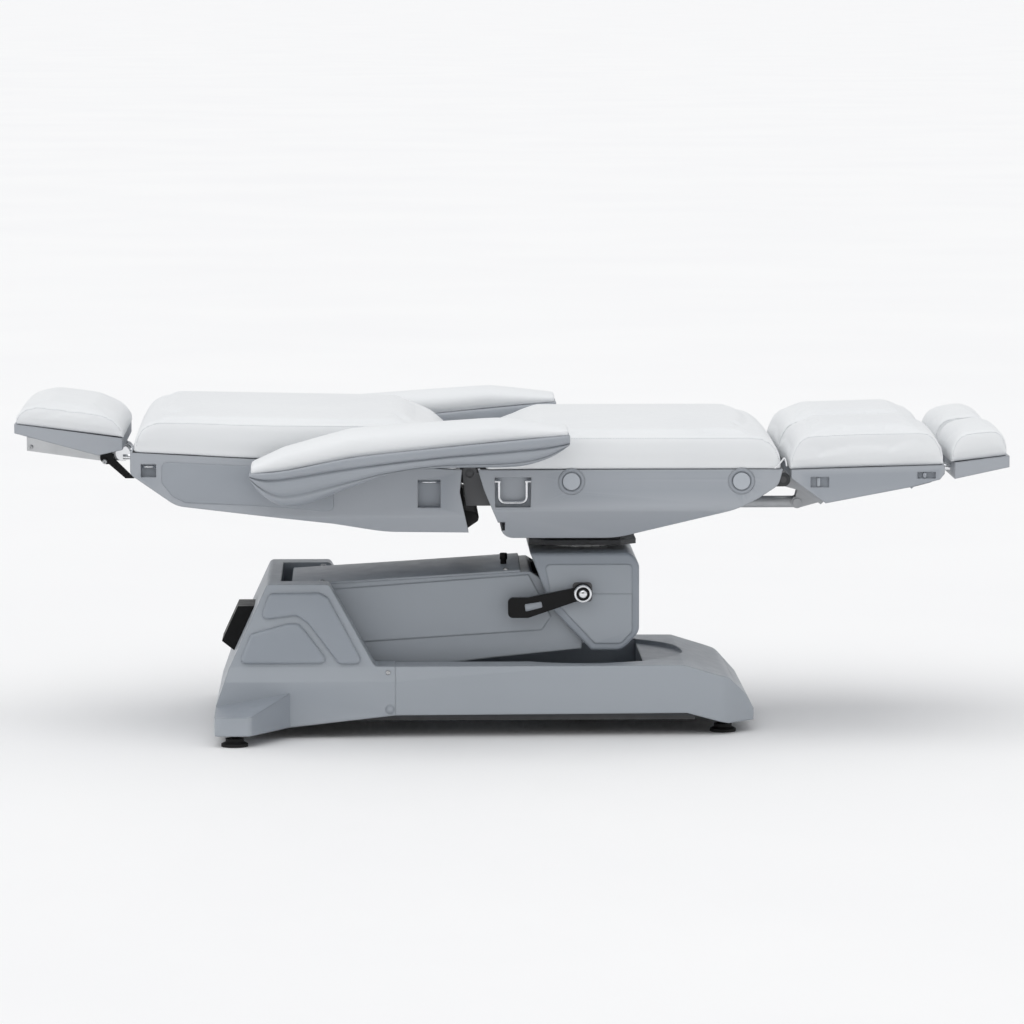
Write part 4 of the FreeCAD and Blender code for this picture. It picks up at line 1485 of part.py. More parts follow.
def check_and_write():
    """Stop on any failed feature or bad shape, then write every sub-part."""
    doc.recompute()
    failed = [item.Name for item in doc.Objects if {"Invalid", "Error"} & set(item.State)]
    if failed:
        raise RuntimeError(f"failed features: {failed}")
    os.makedirs("parts", exist_ok=True)
    bad = [label for label, piece in PIECES.items() if not sound(piece.Shape)]
    if bad:
        raise RuntimeError(f"no valid shape: {bad}")
    for label, piece in PIECES.items():
        shape = piece.Shape
        shape.exportStep(f"parts/{label}.step")
        print(f"{label}: {len(shape.Solids)} solid, {shape.Volume / 1000:.0f} cm3")
    print(f"{len(PIECES)} sub-parts")


STEPS = (
    rear_base_cover, front_base_cover, base_frame, levelling_feet, mains_inlet, pivot_shafts, arm_frame,
    tie_links,
    lift_motor, arm_cover, arm_top_cover, head_cover, head_frame, swivel, swivel_lever, seat_shell, seat_caps,
    seat_frame, hinge_guards, hinge_pins, back_motor, d_rings, back_shell, back_frame, armrests, headrest,
    leg_rests,
    foot_rests, cushions)

for step in STEPS:
    step()
check_and_write()
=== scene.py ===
"""Looks of the podiatry chair: upholstery, moulded covers, metal, small trim, floor, light and camera."""

import logging
import math
from collections.abc import Callable, Sequence
from dataclasses import dataclass, field
from enum import Enum

import bmesh
import bpy
from mathutils import Matrix, Vector, kdtree, noise
from mathutils.bvhtree import BVHTree


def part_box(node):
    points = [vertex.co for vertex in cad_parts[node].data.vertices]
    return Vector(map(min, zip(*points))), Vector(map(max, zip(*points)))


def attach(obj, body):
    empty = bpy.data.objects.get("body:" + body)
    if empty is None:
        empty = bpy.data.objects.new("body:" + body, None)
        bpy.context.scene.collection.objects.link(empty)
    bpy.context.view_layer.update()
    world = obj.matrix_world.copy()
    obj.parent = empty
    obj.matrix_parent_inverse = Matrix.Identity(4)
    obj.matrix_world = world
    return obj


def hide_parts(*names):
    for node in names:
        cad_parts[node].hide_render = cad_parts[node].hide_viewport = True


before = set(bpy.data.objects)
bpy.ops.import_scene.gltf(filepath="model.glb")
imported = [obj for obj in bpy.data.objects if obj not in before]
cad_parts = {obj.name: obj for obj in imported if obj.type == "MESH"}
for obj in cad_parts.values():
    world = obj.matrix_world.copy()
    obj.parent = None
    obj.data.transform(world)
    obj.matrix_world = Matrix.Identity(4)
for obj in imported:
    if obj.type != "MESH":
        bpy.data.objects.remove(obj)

log = logging.getLogger("podiatry_chair")

Rgb = tuple[float, float, float]
Point = tuple[float, float, float]
Profile = Sequence[tuple[float, float]]
Stations = Sequence[tuple[float, float, float, float]]


class Side(Enum):
    """The two sides of the chair, by the sign of Y."""

    RIGHT = -1
    LEFT = 1

    @property
    def word(self) -> str:
        """The side's name as the nodes and bodies spell it."""
        return self.name.lower()


class EndForm(Enum):
    """How far a cushion's seam has risen along the run at one of its ends."""

    ROLLED = ((0.0, 0.28), (0.06, 0.46), (0.16, 0.64), (0.33, 0.81), (0.6, 0.94), (1.0, 1.0))
    VALLEY = ((0.0, 0.20), (0.07, 0.35), (0.18, 0.53), (0.36, 0.74), (0.62, 0.91), (1.0, 1.0))


class NodeSheet:
    """A node tree, wired through short calls."""

    def __init__(self, tree: bpy.types.NodeTree) -> None:
        """Takes over a tree.

        Args:
            tree: the tree that nodes are added to.
        """
        self.tree = tree

    def feed(self, socket: bpy.types.NodeSocket, value: object) -> None:
        """Links a socket to another, or sets its value."""
        if isinstance(value, bpy.types.NodeSocket):
            self.tree.links.new(value, socket)
        else:
            socket.default_value = value

    def add(self, kind: str, inputs: dict | None = None, **settings: object) -> bpy.types.Node:
        """Adds a node.

        Args:
            kind: the node type without its prefix.
            inputs: values or sockets by input name or number.
            settings: the node's own options.

        Returns:
            The new node.
        """
        node = self.tree.nodes.new("ShaderNode" + kind)
        for key, value in settings.items():
            setattr(node, key, value)
        for key, value in (inputs or {}).items():
            self.feed(node.inputs[key], value)
        return node


class FinishSheet(NodeSheet):
    """The node tree of one material."""

    def __init__(self, name: str) -> None:
        """Starts a material with a plain shader.

        Args:
            name: the finish's name.
        """
        self.material = bpy.data.materials.new(name)
        self.material.use_nodes = True
        super().__init__(self.material.node_tree)
        self.shader = self.tree.nodes["Principled BSDF"]
        self.place = self.tree.nodes.new("ShaderNodeTexCoord").outputs["Object"]

    def speckle(self, scale: float, detail: float = 2.0, stretch: Point = (1, 1, 1)) -> bpy.types.NodeSocket:
        """Noise over the piece.

        Args:
            scale: cells per metre.
            detail: octaves.
            stretch: scale of each axis, for brushed or drawn surfaces.

        Returns:
            A value from 0 to 1.
        """
        spread = self.add("Mapping", {"Vector": self.place, "Scale": stretch}).outputs[0]
        return self.add("TexNoise", {"Vector": spread, "Scale": scale, "Detail": detail}).outputs["Fac"]

    def span(self, value: bpy.types.NodeSocket, low: float, high: float) -> bpy.types.NodeSocket:
        """Maps the middle of a noise to a range of values."""
        inputs = {"Value": value, "From Min": 0.3, "From Max": 0.7, "To Min": low, "To Max": high}
        return self.add("MapRange", inputs).outputs[0]

    def tint(self, share: bpy.types.NodeSocket, first: object, second: object) -> bpy.types.NodeSocket:
        """Mixes two colours.

        Args:
            share: how much of the second colour.
            first: colour or socket at 0.
            second: colour or socket at 1.

        Returns:
            The mixed colour.
        """
        node = self.add("Mix", data_type="RGBA")
        self.feed(node.inputs[0], share)
        self.feed(node.inputs[6], first if not isinstance(first, tuple) else (*first, 1.0))
        self.feed(node.inputs[7], second if not isinstance(second, tuple) else (*second, 1.0))
        return node.outputs[2]

    def bump(self, height: bpy.types.NodeSocket, distance: float, strength: float,
             normal: bpy.types.NodeSocket | None = None) -> bpy.types.NodeSocket:
        """Relief from a height, in metres, over an optional normal."""
        node = self.add("Bump", {"Height": height, "Distance": distance, "Strength": strength})
        if normal is not None:
            self.feed(node.inputs["Normal"], normal)
        return node.outputs[0]

    def soft_edges(self, radius: float) -> bpy.types.NodeSocket:
        """A normal that rounds sharp edges by a radius in metres."""
        return self.add("Bevel", {"Radius": radius}, samples=4).outputs[0]

    def painted_edge_highlight(self, low: float, high: float, most: float) -> bpy.types.NodeSocket:
        """How much painted highlight an edge gets, from how sharply it stands out."""
        point = self.add("NewGeometry").outputs["Pointiness"]
        inputs = {"Value": point, "From Min": low, "From Max": high, "To Min": 0.0, "To Max": most}
        return self.add("MapRange", inputs).outputs[0]


@dataclass(frozen=True)
class MouldedPlastic:
    """Satin moulded plastic with a fine spark-eroded texture and a painted highlight on its sharp edges."""

    name: str
    colour: Rgb
    shade: Rgb
    rough: tuple[float, float]
    grain: float = 1400.0
    relief: float = 0.00012
    edge: float = 0.002
    rub: Rgb | None = None
    shine: float = 0.5

    def make(self) -> bpy.types.Material:
        """Builds the material."""
        sheet = FinishSheet(self.name)
        cloud = sheet.span(sheet.speckle(5.0, 3.0), 0.0, 1.0)
        colour = sheet.tint(cloud, self.shade, self.colour)
        # painted highlight: sharp convex edges are mixed toward a lighter colour
        if self.rub:
            colour = sheet.tint(sheet.painted_edge_highlight(0.52, 0.58, 0.45), colour, self.rub)
        sheet.feed(sheet.shader.inputs["Base Color"], colour)
        sheet.shader.inputs["Specular IOR Level"].default_value = self.shine
        sheet.feed(sheet.shader.inputs["Roughness"], sheet.span(sheet.speckle(38.0, 5.0), *self.rough))
        fine = sheet.bump(sheet.speckle(self.grain, 2.0), self.relief, 0.35, sheet.soft_edges(self.edge))
        waves = sheet.bump(sheet.speckle(9.0, 1.0), 0.0006, 0.25, fine)
        sheet.feed(sheet.shader.inputs["Normal"], waves)
        return sheet.material


@dataclass(frozen=True)
class Leatherette:
    """Coated upholstery cloth: pebbled pores, soft creases and a slight sheen."""

    name: str
    colour: Rgb
    shade: Rgb
    rough: tuple[float, float]
    pores: float = 620.0

    def make(self) -> bpy.types.Material:
        """Builds the material."""
        sheet = FinishSheet(self.name)
        cloud = sheet.span(sheet.speckle(4.0, 4.0), 0.0, 1.0)
        sheet.feed(sheet.shader.inputs["Base Color"], sheet.tint(cloud, self.shade, self.colour))
        sheet.feed(sheet.shader.inputs["Roughness"], sheet.span(sheet.speckle(60.0, 4.0), *self.rough))
        sheet.shader.inputs["Sheen Weight"].default_value = 0.08
        sheet.shader.inputs["Specular IOR Level"].default_value = 0.42
        inputs = {"Vector": sheet.place, "Scale": self.pores}
        cells = sheet.add("TexVoronoi", inputs, feature="DISTANCE_TO_EDGE")
        pebble = sheet.bump(sheet.span(cells.outputs["Distance"], 0.0, 1.0), 0.0002, 0.28)
        crease = sheet.bump(sheet.speckle(22.0, 5.0, (1.0, 1.0, 0.6)), 0.0016, 0.22, pebble)
        sheet.feed(sheet.shader.inputs["Normal"], crease)
        return sheet.material


@dataclass(frozen=True)
class Metal:
    """Bare or plated metal with drawn or polished traces."""

    name: str
    colour: Rgb
    shade: Rgb
    rough: tuple[float, float]
    stretch: Point = (1.0, 1.0, 1.0)
    trace: float = 260.0
    relief: float = 0.00005
    metallic: float = 1.0

    def make(self) -> bpy.types.Material:
        """Builds the material."""
        sheet = FinishSheet(self.name)
        cloud = sheet.span(sheet.speckle(30.0, 3.0), 0.0, 1.0)
        lines = sheet.speckle(self.trace, 3.0, self.stretch)
        sheet.feed(sheet.shader.inputs["Base Color"], sheet.tint(cloud, self.shade, self.colour))
        sheet.shader.inputs["Metallic"].default_value = self.metallic
        sheet.feed(sheet.shader.inputs["Roughness"], sheet.span(lines, *self.rough))
        relief = sheet.bump(lines, self.relief, 0.3, sheet.soft_edges(0.0008))
        sheet.feed(sheet.shader.inputs["Normal"], relief)
        return sheet.material


@dataclass
class Finishes:
    """Every finish of the chair, made once."""

    # cover and shell get a lighter colour painted on their sharp edges as a highlight
    cover: MouldedPlastic = MouldedPlastic(
        "cover_grey", (0.315, 0.345, 0.385), (0.295, 0.325, 0.365), (0.34, 0.46), edge=0.0045,
        rub=(0.42, 0.45, 0.48))
    shell: MouldedPlastic = MouldedPlastic(
        "shell_grey", (0.335, 0.36, 0.395), (0.315, 0.34, 0.375), (0.36, 0.48), edge=0.004,
        rub=(0.44, 0.46, 0.49))
    pale: MouldedPlastic = MouldedPlastic(
        "cap_grey", (0.46, 0.49, 0.53), (0.43, 0.46, 0.50), (0.30, 0.40), edge=0.0015)
    black: MouldedPlastic = MouldedPlastic(
        "black_plastic", (0.006, 0.006, 0.0065), (0.004, 0.004, 0.0045), (0.40, 0.54), grain=900.0,
        relief=0.0002, edge=0.002, shine=0.22)
    guard: MouldedPlastic = MouldedPlastic(
        "guard_grey", (0.125, 0.126, 0.13), (0.105, 0.106, 0.11), (0.42, 0.55), edge=0.002, shine=0.35)
    rubber: MouldedPlastic = MouldedPlastic(
        "foot_rubber", (0.016, 0.016, 0.016), (0.011, 0.011, 0.011), (0.55, 0.75), grain=500.0,
        relief=0.0003, edge=0.001, shine=0.25)
    leather: Leatherette = Leatherette("leatherette", (0.80, 0.815, 0.825), (0.77, 0.785, 0.80), (0.42, 0.56))
    thread: Leatherette = Leatherette("thread", (0.60, 0.62, 0.64), (0.55, 0.57, 0.59), (0.6, 0.8), 2400.0)
    chrome: Metal = Metal("chrome", (0.82, 0.83, 0.85), (0.74, 0.75, 0.77), (0.05, 0.14))
    steel: Metal = Metal(
        "bright_steel", (0.58, 0.585, 0.59), (0.5, 0.505, 0.51), (0.22, 0.36), (0.06, 1.0, 1.0))
    aluminium: Metal = Metal(
        "aluminium", (0.66, 0.67, 0.68), (0.58, 0.59, 0.60), (0.28, 0.42), (0.06, 1.0, 1.0))
    strut: Metal = Metal(
        "strut_grey", (0.43, 0.44, 0.455), (0.37, 0.38, 0.395), (0.34, 0.46), (0.06, 1.0, 1.0), metallic=0.5)
    frame_steel: Metal = Metal(
        "frame_steel", (0.075, 0.077, 0.08), (0.06, 0.062, 0.065), (0.42, 0.58), trace=420.0, relief=0.0002,
        metallic=0.35)
    made: dict[str, bpy.types.Material] = field(default_factory=dict)

    def use(self, name: str) -> bpy.types.Material:
        """The material of a finish, made at its first use."""
        if name not in self.made:
            self.made[name] = getattr(self, name).make()
        return self.made[name]


FINISHES = Finishes()


def link(name: str, mesh: bpy.types.Mesh, finish: str, smooth: bool = True) -> bpy.types.Object:
    """Puts a mesh into the scene as a piece.

    Args:
        name: the piece's name.
        mesh: its mesh, in the chair's frame.
        finish: the finish's field name.
        smooth: whether its faces are shaded smoothly.

    Returns:
        The new object.
    """
    piece = bpy.data.objects.new(name, mesh)
    bpy.context.scene.collection.objects.link(piece)
    mesh.materials.clear()
    mesh.materials.append(FINISHES.use(finish))
    mesh.polygons.foreach_set("use_smooth", [smooth] * len(mesh.polygons))
    return piece


def evaluated(piece: bpy.types.Object) -> bpy.types.Mesh:
    """The piece's mesh with its modifiers applied."""
    graph = bpy.context.evaluated_depsgraph_get()
    return bpy.data.meshes.new_from_object(piece.evaluated_get(graph))


def as_mesh(work: bmesh.types.BMesh, name: str) -> bpy.types.Mesh:
    """A mesh from a finished work mesh, which is freed."""
    mesh = bpy.data.meshes.new(name)
    work.to_mesh(mesh)
    work.free()
    return mesh


def close_rings(work: bmesh.types.BMesh, rings: list[list[bmesh.types.BMVert]]) -> None:
    """Joins rings of equal count by faces and closes both ends.

    Args:
        work: the mesh the rings are in.
        rings: each ring's corners, in order along the piece.
    """
    for first, second in zip(rings, rings[1:]):
        for index in range(len(first)):
            after = (index + 1) % len(first)
            work.faces.new((first[index], first[after], second[after], second[index]))
    work.faces.new(rings[0][::-1])
    work.faces.new(rings[-1])


def skin_of(node: str) -> BVHTree:
    """The surface of a CAD node, for rays and nearest points."""
    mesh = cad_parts[node].data
    return BVHTree.FromPolygons([v.co for v in mesh.vertices], [p.vertices for p in mesh.polygons])


def frame_along(direction: Vector) -> Matrix:
    """A rotation that turns Z into a direction."""
    return Vector((0, 0, 1)).rotation_difference(direction.normalized()).to_matrix().to_4x4()


def turned(name: str, profile: Profile, at: Point, along: Point, finish: str,
           steps: int = 40) -> bpy.types.Object:
    """A turned piece: a radius and height profile spun about an axis.

    Args:
        name: the piece's name.
        profile: radius and height pairs in metres, from the foot upward.
        at: place of the foot's middle.
        along: direction of the axis.
        finish: the finish's field name.
        steps: divisions round the axis.

    Returns:
        The new object.
    """
    work = bmesh.new()
    points = [work.verts.new((radius, 0.0, height)) for radius, height in profile]
    edges = [work.edges.new(pair) for pair in zip(points, points[1:])]
    bmesh.ops.spin(work, geom=points + edges, axis=(0, 0, 1), cent=(0, 0, 0), steps=steps, angle=math.tau)
    bmesh.ops.remove_doubles(work, verts=work.verts, dist=1e-6)
    bmesh.ops.recalc_face_normals(work, faces=work.faces)
    bmesh.ops.transform(work, matrix=Matrix.Translation(at) @ frame_along(Vector(along)), verts=work.verts)
    return link(name, as_mesh(work, name), finish)


def rounded(corners: Profile, radius: float, steps: int = 6) -> Profile:
    """An outline with its corners rounded.

    Args:
        corners: the outline's corners in order.
        radius: the radius, cut short where an edge is too short for it.
        steps: divisions of each corner.

    Returns:
        The rounded outline.
    """
    line: Profile = []
    for index, here in enumerate(corners):
        at = Vector(here)
        back = Vector(corners[index - 1]) - at
        ahead = Vector(corners[(index + 1) % len(corners)]) - at
        run = min(radius / math.tan(back.angle(ahead) / 2), 0.45 * back.length, 0.45 * ahead.length)
        first = at + back.normalized() * run
        last = at + ahead.normalized() * run
        for step in range(steps + 1):
            share = step / steps
            point = first * (1 - share) ** 2 + at * (2 * share * (1 - share)) + last * share ** 2
            line.append((point.x, point.y))
    return line


def drawn_in(outline: Profile, amount: float) -> Profile:
    """An outline moved inward by an amount."""
    turn = sum(x0 * y1 - x1 * y0 for (x0, y0), (x1, y1) in zip(outline, outline[1:] + outline[:1]))
    sign = math.copysign(1.0, turn)
    line = []
    for index, here in enumerate(outline):
        before = (Vector(here) - Vector(outline[index - 1])).normalized()
        after = (Vector(outline[(index + 1) % len(outline)]) - Vector(here)).normalized()
        first = Vector((-before.y, before.x)) * sign
        second = Vector((-after.y, after.x)) * sign
        shift = (first + second) / max(0.3, 1.0 + first.dot(second)) * amount
        line.append((here[0] + shift.x, here[1] + shift.y))
    return line


def raised(name: str, outline: Profile, lay: Callable[[float, float, float], Point], height: float,
           rim: float, finish: str) -> bpy.types.Object:
    """A raised field on a face, with a softly rounded rim.

    Args:
        name: the piece's name.
        outline: its outline in the face's own two directions.
        lay: turns a place on the face and a height over it into a point.
        height: how far it stands out, in metres.
        rim: radius of its rim.
        finish: the finish's field name.

    Returns:
        The new object.
    """
    work = bmesh.new()
    levels = [(0.0, -0.0006)]
    for step in range(6):
        angle = step * math.pi / 10
        levels.append((rim * (1 - math.cos(angle)), height - rim + rim * math.sin(angle)))
    rings = []
    for inset, rise in levels:
        rings.append([work.verts.new(lay(u, v, rise)) for u, v in drawn_in(outline, inset)])
    close_rings(work, rings)
    bmesh.ops.recalc_face_normals(work, faces=work.faces)
    return link(name, as_mesh(work, name), finish)


def cord(name: str, points: list[Point], radius: float, finish: str) -> bpy.types.Object:
    """A round cord or bent rod along a smooth line.

    Args:
        name: the piece's name.
        points: places the line passes.
        radius: its half thickness.
        finish: the finish's field name.

    Returns:
        The new object.
    """
    curve = bpy.data.curves.new(name, "CURVE")
    curve.dimensions = "3D"
    curve.bevel_depth = radius
    curve.bevel_resolution = 3
    curve.use_fill_caps = True
    spline = curve.splines.new("BEZIER")
    spline.bezier_points.add(len(points) - 1)
    for knot, place in zip(spline.bezier_points, points):
        knot.co = place
        knot.handle_left_type = "AUTO"
        knot.handle_right_type = "AUTO"
    guide = bpy.data.objects.new(name + "_line", curve)
    bpy.context.scene.collection.objects.link(guide)
    mesh = evaluated(guide)
    bpy.data.objects.remove(guide)
    return link(name, mesh, finish)


def touch(node: str, start: Point, toward: Point) -> tuple[Vector, Vector]:
    """Where a straight line first meets a CAD node.

    Args:
        node: the node's name.
        start: where the line starts.
        toward: its direction.

    Returns:
        The spot and the face's normal there.
    """
    spot, normal, _, _ = skin_of(node).ray_cast(Vector(start), Vector(toward))
    return spot, normal


def dome_screw(name: str, node: str, body: str, start: Point, toward: Point, radius: float = 0.0055) -> None:
    """Sets a domed screw head where a line meets a cover.

    Args:
        name: the piece's name.
        node: the cover it sits on.
        body: the body it rides on.
        start: where the line starts.
        toward: its direction.
        radius: the head's radius.
    """
    spot, normal = touch(node, start, toward)
    profile = [(radius, -0.0010), (radius, 0.0006), (radius * 0.94, 0.0014), (radius * 0.72, 0.0027),
               (radius * 0.42, 0.0034), (radius * 0.40, 0.0022), (0.0, 0.0022)]
    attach(turned(name, profile, spot, normal, "steel", 24), body)


def dress(finish: str, *nodes: str) -> None:
    """Gives CAD nodes a finish.

    Args:
        finish: the finish's field name.
        nodes: the nodes' names.
    """
    for name in nodes:
        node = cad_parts[name]
        node.data.materials.clear()
        node.data.materials.append(FINISHES.use(finish))
        log.info("%s: %s", name, finish)


SEAM_STEP = 0.0045
SEAM_HOLD = 0.006
DECK_HOLD = 0.007
BLOW_FRAMES = 20
BLOW_PRESSURE = 4.0
COVER_MASS = 0.3
PROUD = 0.0004
GROOVE = (0.0022, 0.0042)
PUCKER = (0.0011, 0.016)
SEWN_BAND = 0.014
PLAIN_BAND = 0.006
STITCH_DROP = 0.0034
STITCH_LENGTH = 0.0030
STITCH_THICK = 0.0006


@dataclass
class Cushion:
    """One upholstered pad: a foam block in a sewn leatherette cover with a top panel and two side panels.

    The stations are place along X, height of the deck, height of the seam and height of the crown, in metres.
    """

    node: str
    body: str
    middle: float
    half: float
    stations: Stations
    cap: float = 0.012
    voxel: float = 0.006
    sewn: bool = True
    fill: float = 0.75
    inset: float = 0.004
    dent: float = 0.0016
    piece: bpy.types.Object | None = None
    start: list[Vector] = field(default_factory=list)

    def seams(self) -> list[list[Vector]]:
        """The two side seams, each from deck to deck over the top."""
        lines = []
        for sign in (-1, 1):
            y = self.middle + sign * (self.half - self.inset)
            over = [Vector((x, y, seam)) for x, _, seam, _ in self.stations]
            first, last = self.stations[0], self.stations[-1]
            feet = (Vector((first[0], y, first[1])), Vector((last[0], y, last[1])))
            lines.append(even_steps([feet[0], *over, feet[1]], SEAM_STEP))
        return lines

    def cut_out(self) -> None:
        """Makes the slightly smaller foam block, with an even skin for the cover."""
        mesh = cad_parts[self.node].data.copy()
        low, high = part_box(self.node)
        centre = (low + high) / 2
        size = high - low
        deck = self.deck_line()
        for vertex in mesh.vertices:
            offset = vertex.co - centre
            shrink = [1 - 2 * self.inset / side for side in size]
            foot = deck(vertex.co.x)
            vertex.co.x = centre.x + offset.x * shrink[0]
            vertex.co.y = centre.y + offset.y * shrink[1]
            vertex.co.z = foot + (vertex.co.z - foot) * shrink[2]
        block = link(self.node + "_block", mesh, "leather")
        grid = block.modifiers.new("skin", "REMESH")
        grid.mode = "VOXEL"
        grid.voxel_size = self.voxel
        skin = evaluated(block)
        bpy.data.objects.remove(block)
        name = self.node.replace("cushion", "upholstery").replace("pad", "upholstery")
        self.piece = link(name, skin, "leather")
        self.relax(2)

    def deck_line(self) -> Callable[[float], float]:
        """The height of the deck as a function of X."""
        x0, z0 = self.stations[0][:2]
        x1, z1 = self.stations[-1][:2]
        if self.sewn:
            return lambda x: z0 + (z1 - z0) * (x - x0) / (x1 - x0)
        return lambda x: between_stations(self.stations, x)

    def relax(self, rounds: int) -> None:
        """Smooths the skin a little."""
        work = bmesh.new()
        work.from_mesh(self.piece.data)
        for _ in range(rounds):
            bmesh.ops.smooth_vert(work, verts=work.verts, factor=0.5, use_axis_x=True, use_axis_y=True,
                                  use_axis_z=True)
        work.to_mesh(self.piece.data)
        work.free()

    def pin(self) -> None:
        """Starts the cover's cloth, held on the deck and along its seams."""
        tree = points_tree([point for line in self.seams() for point in line])
        deck = self.deck_line()
        held = self.piece.vertex_groups.new(name="held")
        for vertex in self.piece.data.vertices:
            on_deck = vertex.co.z < deck(vertex.co.x) + DECK_HOLD
            on_seam = self.sewn and tree.find(vertex.co)[2] < SEAM_HOLD
            if on_deck or on_seam:
                held.add([vertex.index], 1.0, "REPLACE")
        self.start = [vertex.co.copy() for vertex in self.piece.data.vertices]
        cloth = self.piece.modifiers.new("cover", "CLOTH")
        cloth.settings.use_pressure = True
        cloth.settings.uniform_pressure_force = BLOW_PRESSURE
        cloth.settings.effector_weights.gravity = 0.0
        cloth.settings.quality = 4
        cloth.settings.mass = COVER_MASS
        cloth.settings.vertex_group_mass = "held"
        cloth.collision_settings.use_collision = False
        cloth.point_cache.frame_start = 1
        cloth.point_cache.frame_end = BLOW_FRAMES

    def settle(self) -> None:
        """Takes the blown-up cover, with its movement capped and kept to the room of its foam."""
        swollen = evaluated(self.piece)
        self.piece.modifiers.clear()
        self.piece.vertex_groups.clear()
        room = skin_of(self.node)
        normals = [vertex.normal.copy() for vertex in self.piece.data.vertices]
        for index, vertex in enumerate(self.piece.data.vertices):
            before, normal = self.start[index], normals[index]
            rise = (swollen.vertices[index].co - before).dot(normal)
            move = max(-self.dent, min(self.cap, rise))
            vertex.co = kept_inside(room, before + normal * move, PROUD)
        bpy.data.meshes.remove(swollen)

    def sew(self) -> None:
        """Refines the cover, draws its seams in and puckers the leatherette along them."""
        finer = self.piece.modifiers.new("finer", "SUBSURF")
        finer.levels = 1
        mesh = evaluated(self.piece)
        self.piece.modifiers.clear()
        old = self.piece.data
        self.piece.data = mesh
        bpy.data.meshes.remove(old)
        if self.sewn:
            tree = points_tree([point for line in self.seams() for point in line])
            normals = [vertex.normal.copy() for vertex in mesh.vertices]
            for vertex, normal in zip(mesh.vertices, normals):
                _, index, gap = tree.find(vertex.co)
                groove = GROOVE[0] * math.exp(-((gap / GROOVE[1]) ** 2))
                wave = noise.noise(Vector((index * 0.21, self.half * 40, 0.0)))
                pucker = PUCKER[0] * wave * math.exp(-gap / PUCKER[1])
                vertex.co -= normal * max(0.0, groove + pucker)
        self.press_foot(mesh)
        mesh.polygons.foreach_set("use_smooth", [True] * len(mesh.polygons))
        mesh.update()

    def press_foot(self, mesh: bpy.types.Mesh) -> None:
        """Presses the lowest band of the cover down on the deck."""
        deck = self.deck_line()
        band = SEWN_BAND if self.sewn else PLAIN_BAND
        for vertex in mesh.vertices:
            foot = deck(vertex.co.x)
            share = (vertex.co.z - foot) / band
            if 0.0 < share < 1.0:
                vertex.co.z = foot + 0.0002 + band * share * share * share * (3.0 - 2.0 * share)

    def stitch(self) -> None:
        """Adds the top stitching beside each seam."""
        if not self.sewn:
            return
        cover = BVHTree.FromObject(self.piece, bpy.context.evaluated_depsgraph_get())
        work = bmesh.new()
        for line in self.seams():
            for here, ahead in zip(line[3:-4], line[4:-3]):
                spot, normal, _, _ = cover.find_nearest(here)
                run = (ahead - here).normalized()
                drop = normal.cross(run)
                inward = -drop.z if abs(drop.z) > 0.1 else drop.x * (self.middle_x() - here.x)
                drop *= math.copysign(STITCH_DROP, inward)
                spot, normal, _, _ = cover.find_nearest(spot + drop)
                add_stitch(work, spot + normal * 0.0002, run, normal, STITCH_LENGTH, STITCH_THICK)
        name = self.node + "_stitching"
        stitching = link(name, as_mesh(work, name), "thread")
        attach(stitching, self.body)

    def middle_x(self) -> float:
        """The middle of the cushion along X."""
        return (self.stations[0][0] + self.stations[-1][0]) / 2

    def hand_over(self) -> None:
        """Hangs the finished cover on its body in place of the plain solid."""
        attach(self.piece, self.body)
        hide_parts(self.node)
        log.info("%s: %d faces", self.piece.name, len(self.piece.data.polygons))


def between_stations(stations: Stations, x: float) -> float:
    """The deck's height at X between stations of a curved pad."""
    for first, second in zip(stations, stations[1:]):
        if x <= second[0]:
            share = max(0.0, (x - first[0]) / (second[0] - first[0]))
            return first[1] + (second[1] - first[1]) * share
    return stations[-1][1]


def kept_inside(room: BVHTree, place: Vector, proud: float) -> Vector:
    """A point brought back to just over the surface of a solid if it stands outside it.

    Args:
        room: the solid's surface.
        place: the point.
        proud: how far it may stand out, in metres.

    Returns:
        The point, moved if needed.
    """
    spot, normal, _, gap = room.find_nearest(place)
    if (place - spot).dot(normal) > 0 and gap > proud:
        return spot + (place - spot) * (proud / gap)
    return place


def even_steps(points: list[Vector], step: float) -> list[Vector]:
    """A line's points at an even spacing.

    Args:
        points: the line's corners.
        step: the spacing in metres.

    Returns:
        The new points.
    """
    line = []
    for first, second in zip(points, points[1:]):
        count = max(1, round((second - first).length / step))
        line += [first.lerp(second, index / count) for index in range(count)]
    return [*line, points[-1]]


def points_tree(points: list[Vector]) -> kdtree.KDTree:
    """A search tree over points."""
    tree = kdtree.KDTree(len(points))
    for index, point in enumerate(points):
        tree.insert(point, index)
    tree.balance()
    return tree


def add_stitch(work: bmesh.types.BMesh, at: Vector, run: Vector, up: Vector, length: float,
               thick: float) -> None:
    """Adds one stitch of thread, a short lens-shaped loop.

    Args:
        work: the mesh it goes into.
        at: its middle.
        run: its direction.
        up: the cover's normal.
        length: its length in metres.
        thick: its half thickness.
    """
    side = up.cross(run).normalized()
    rings = []
    for share, fat in ((-0.5, 0.35), (0.0, 1.0), (0.5, 0.35)):
        middle = at + run * (length * share)
        rings.append([work.verts.new(middle + (side * math.cos(turn) + up * math.sin(turn)) * thick * fat)
                      for turn in (index * math.tau / 5 for index in range(5))])
    close_rings(work, rings)


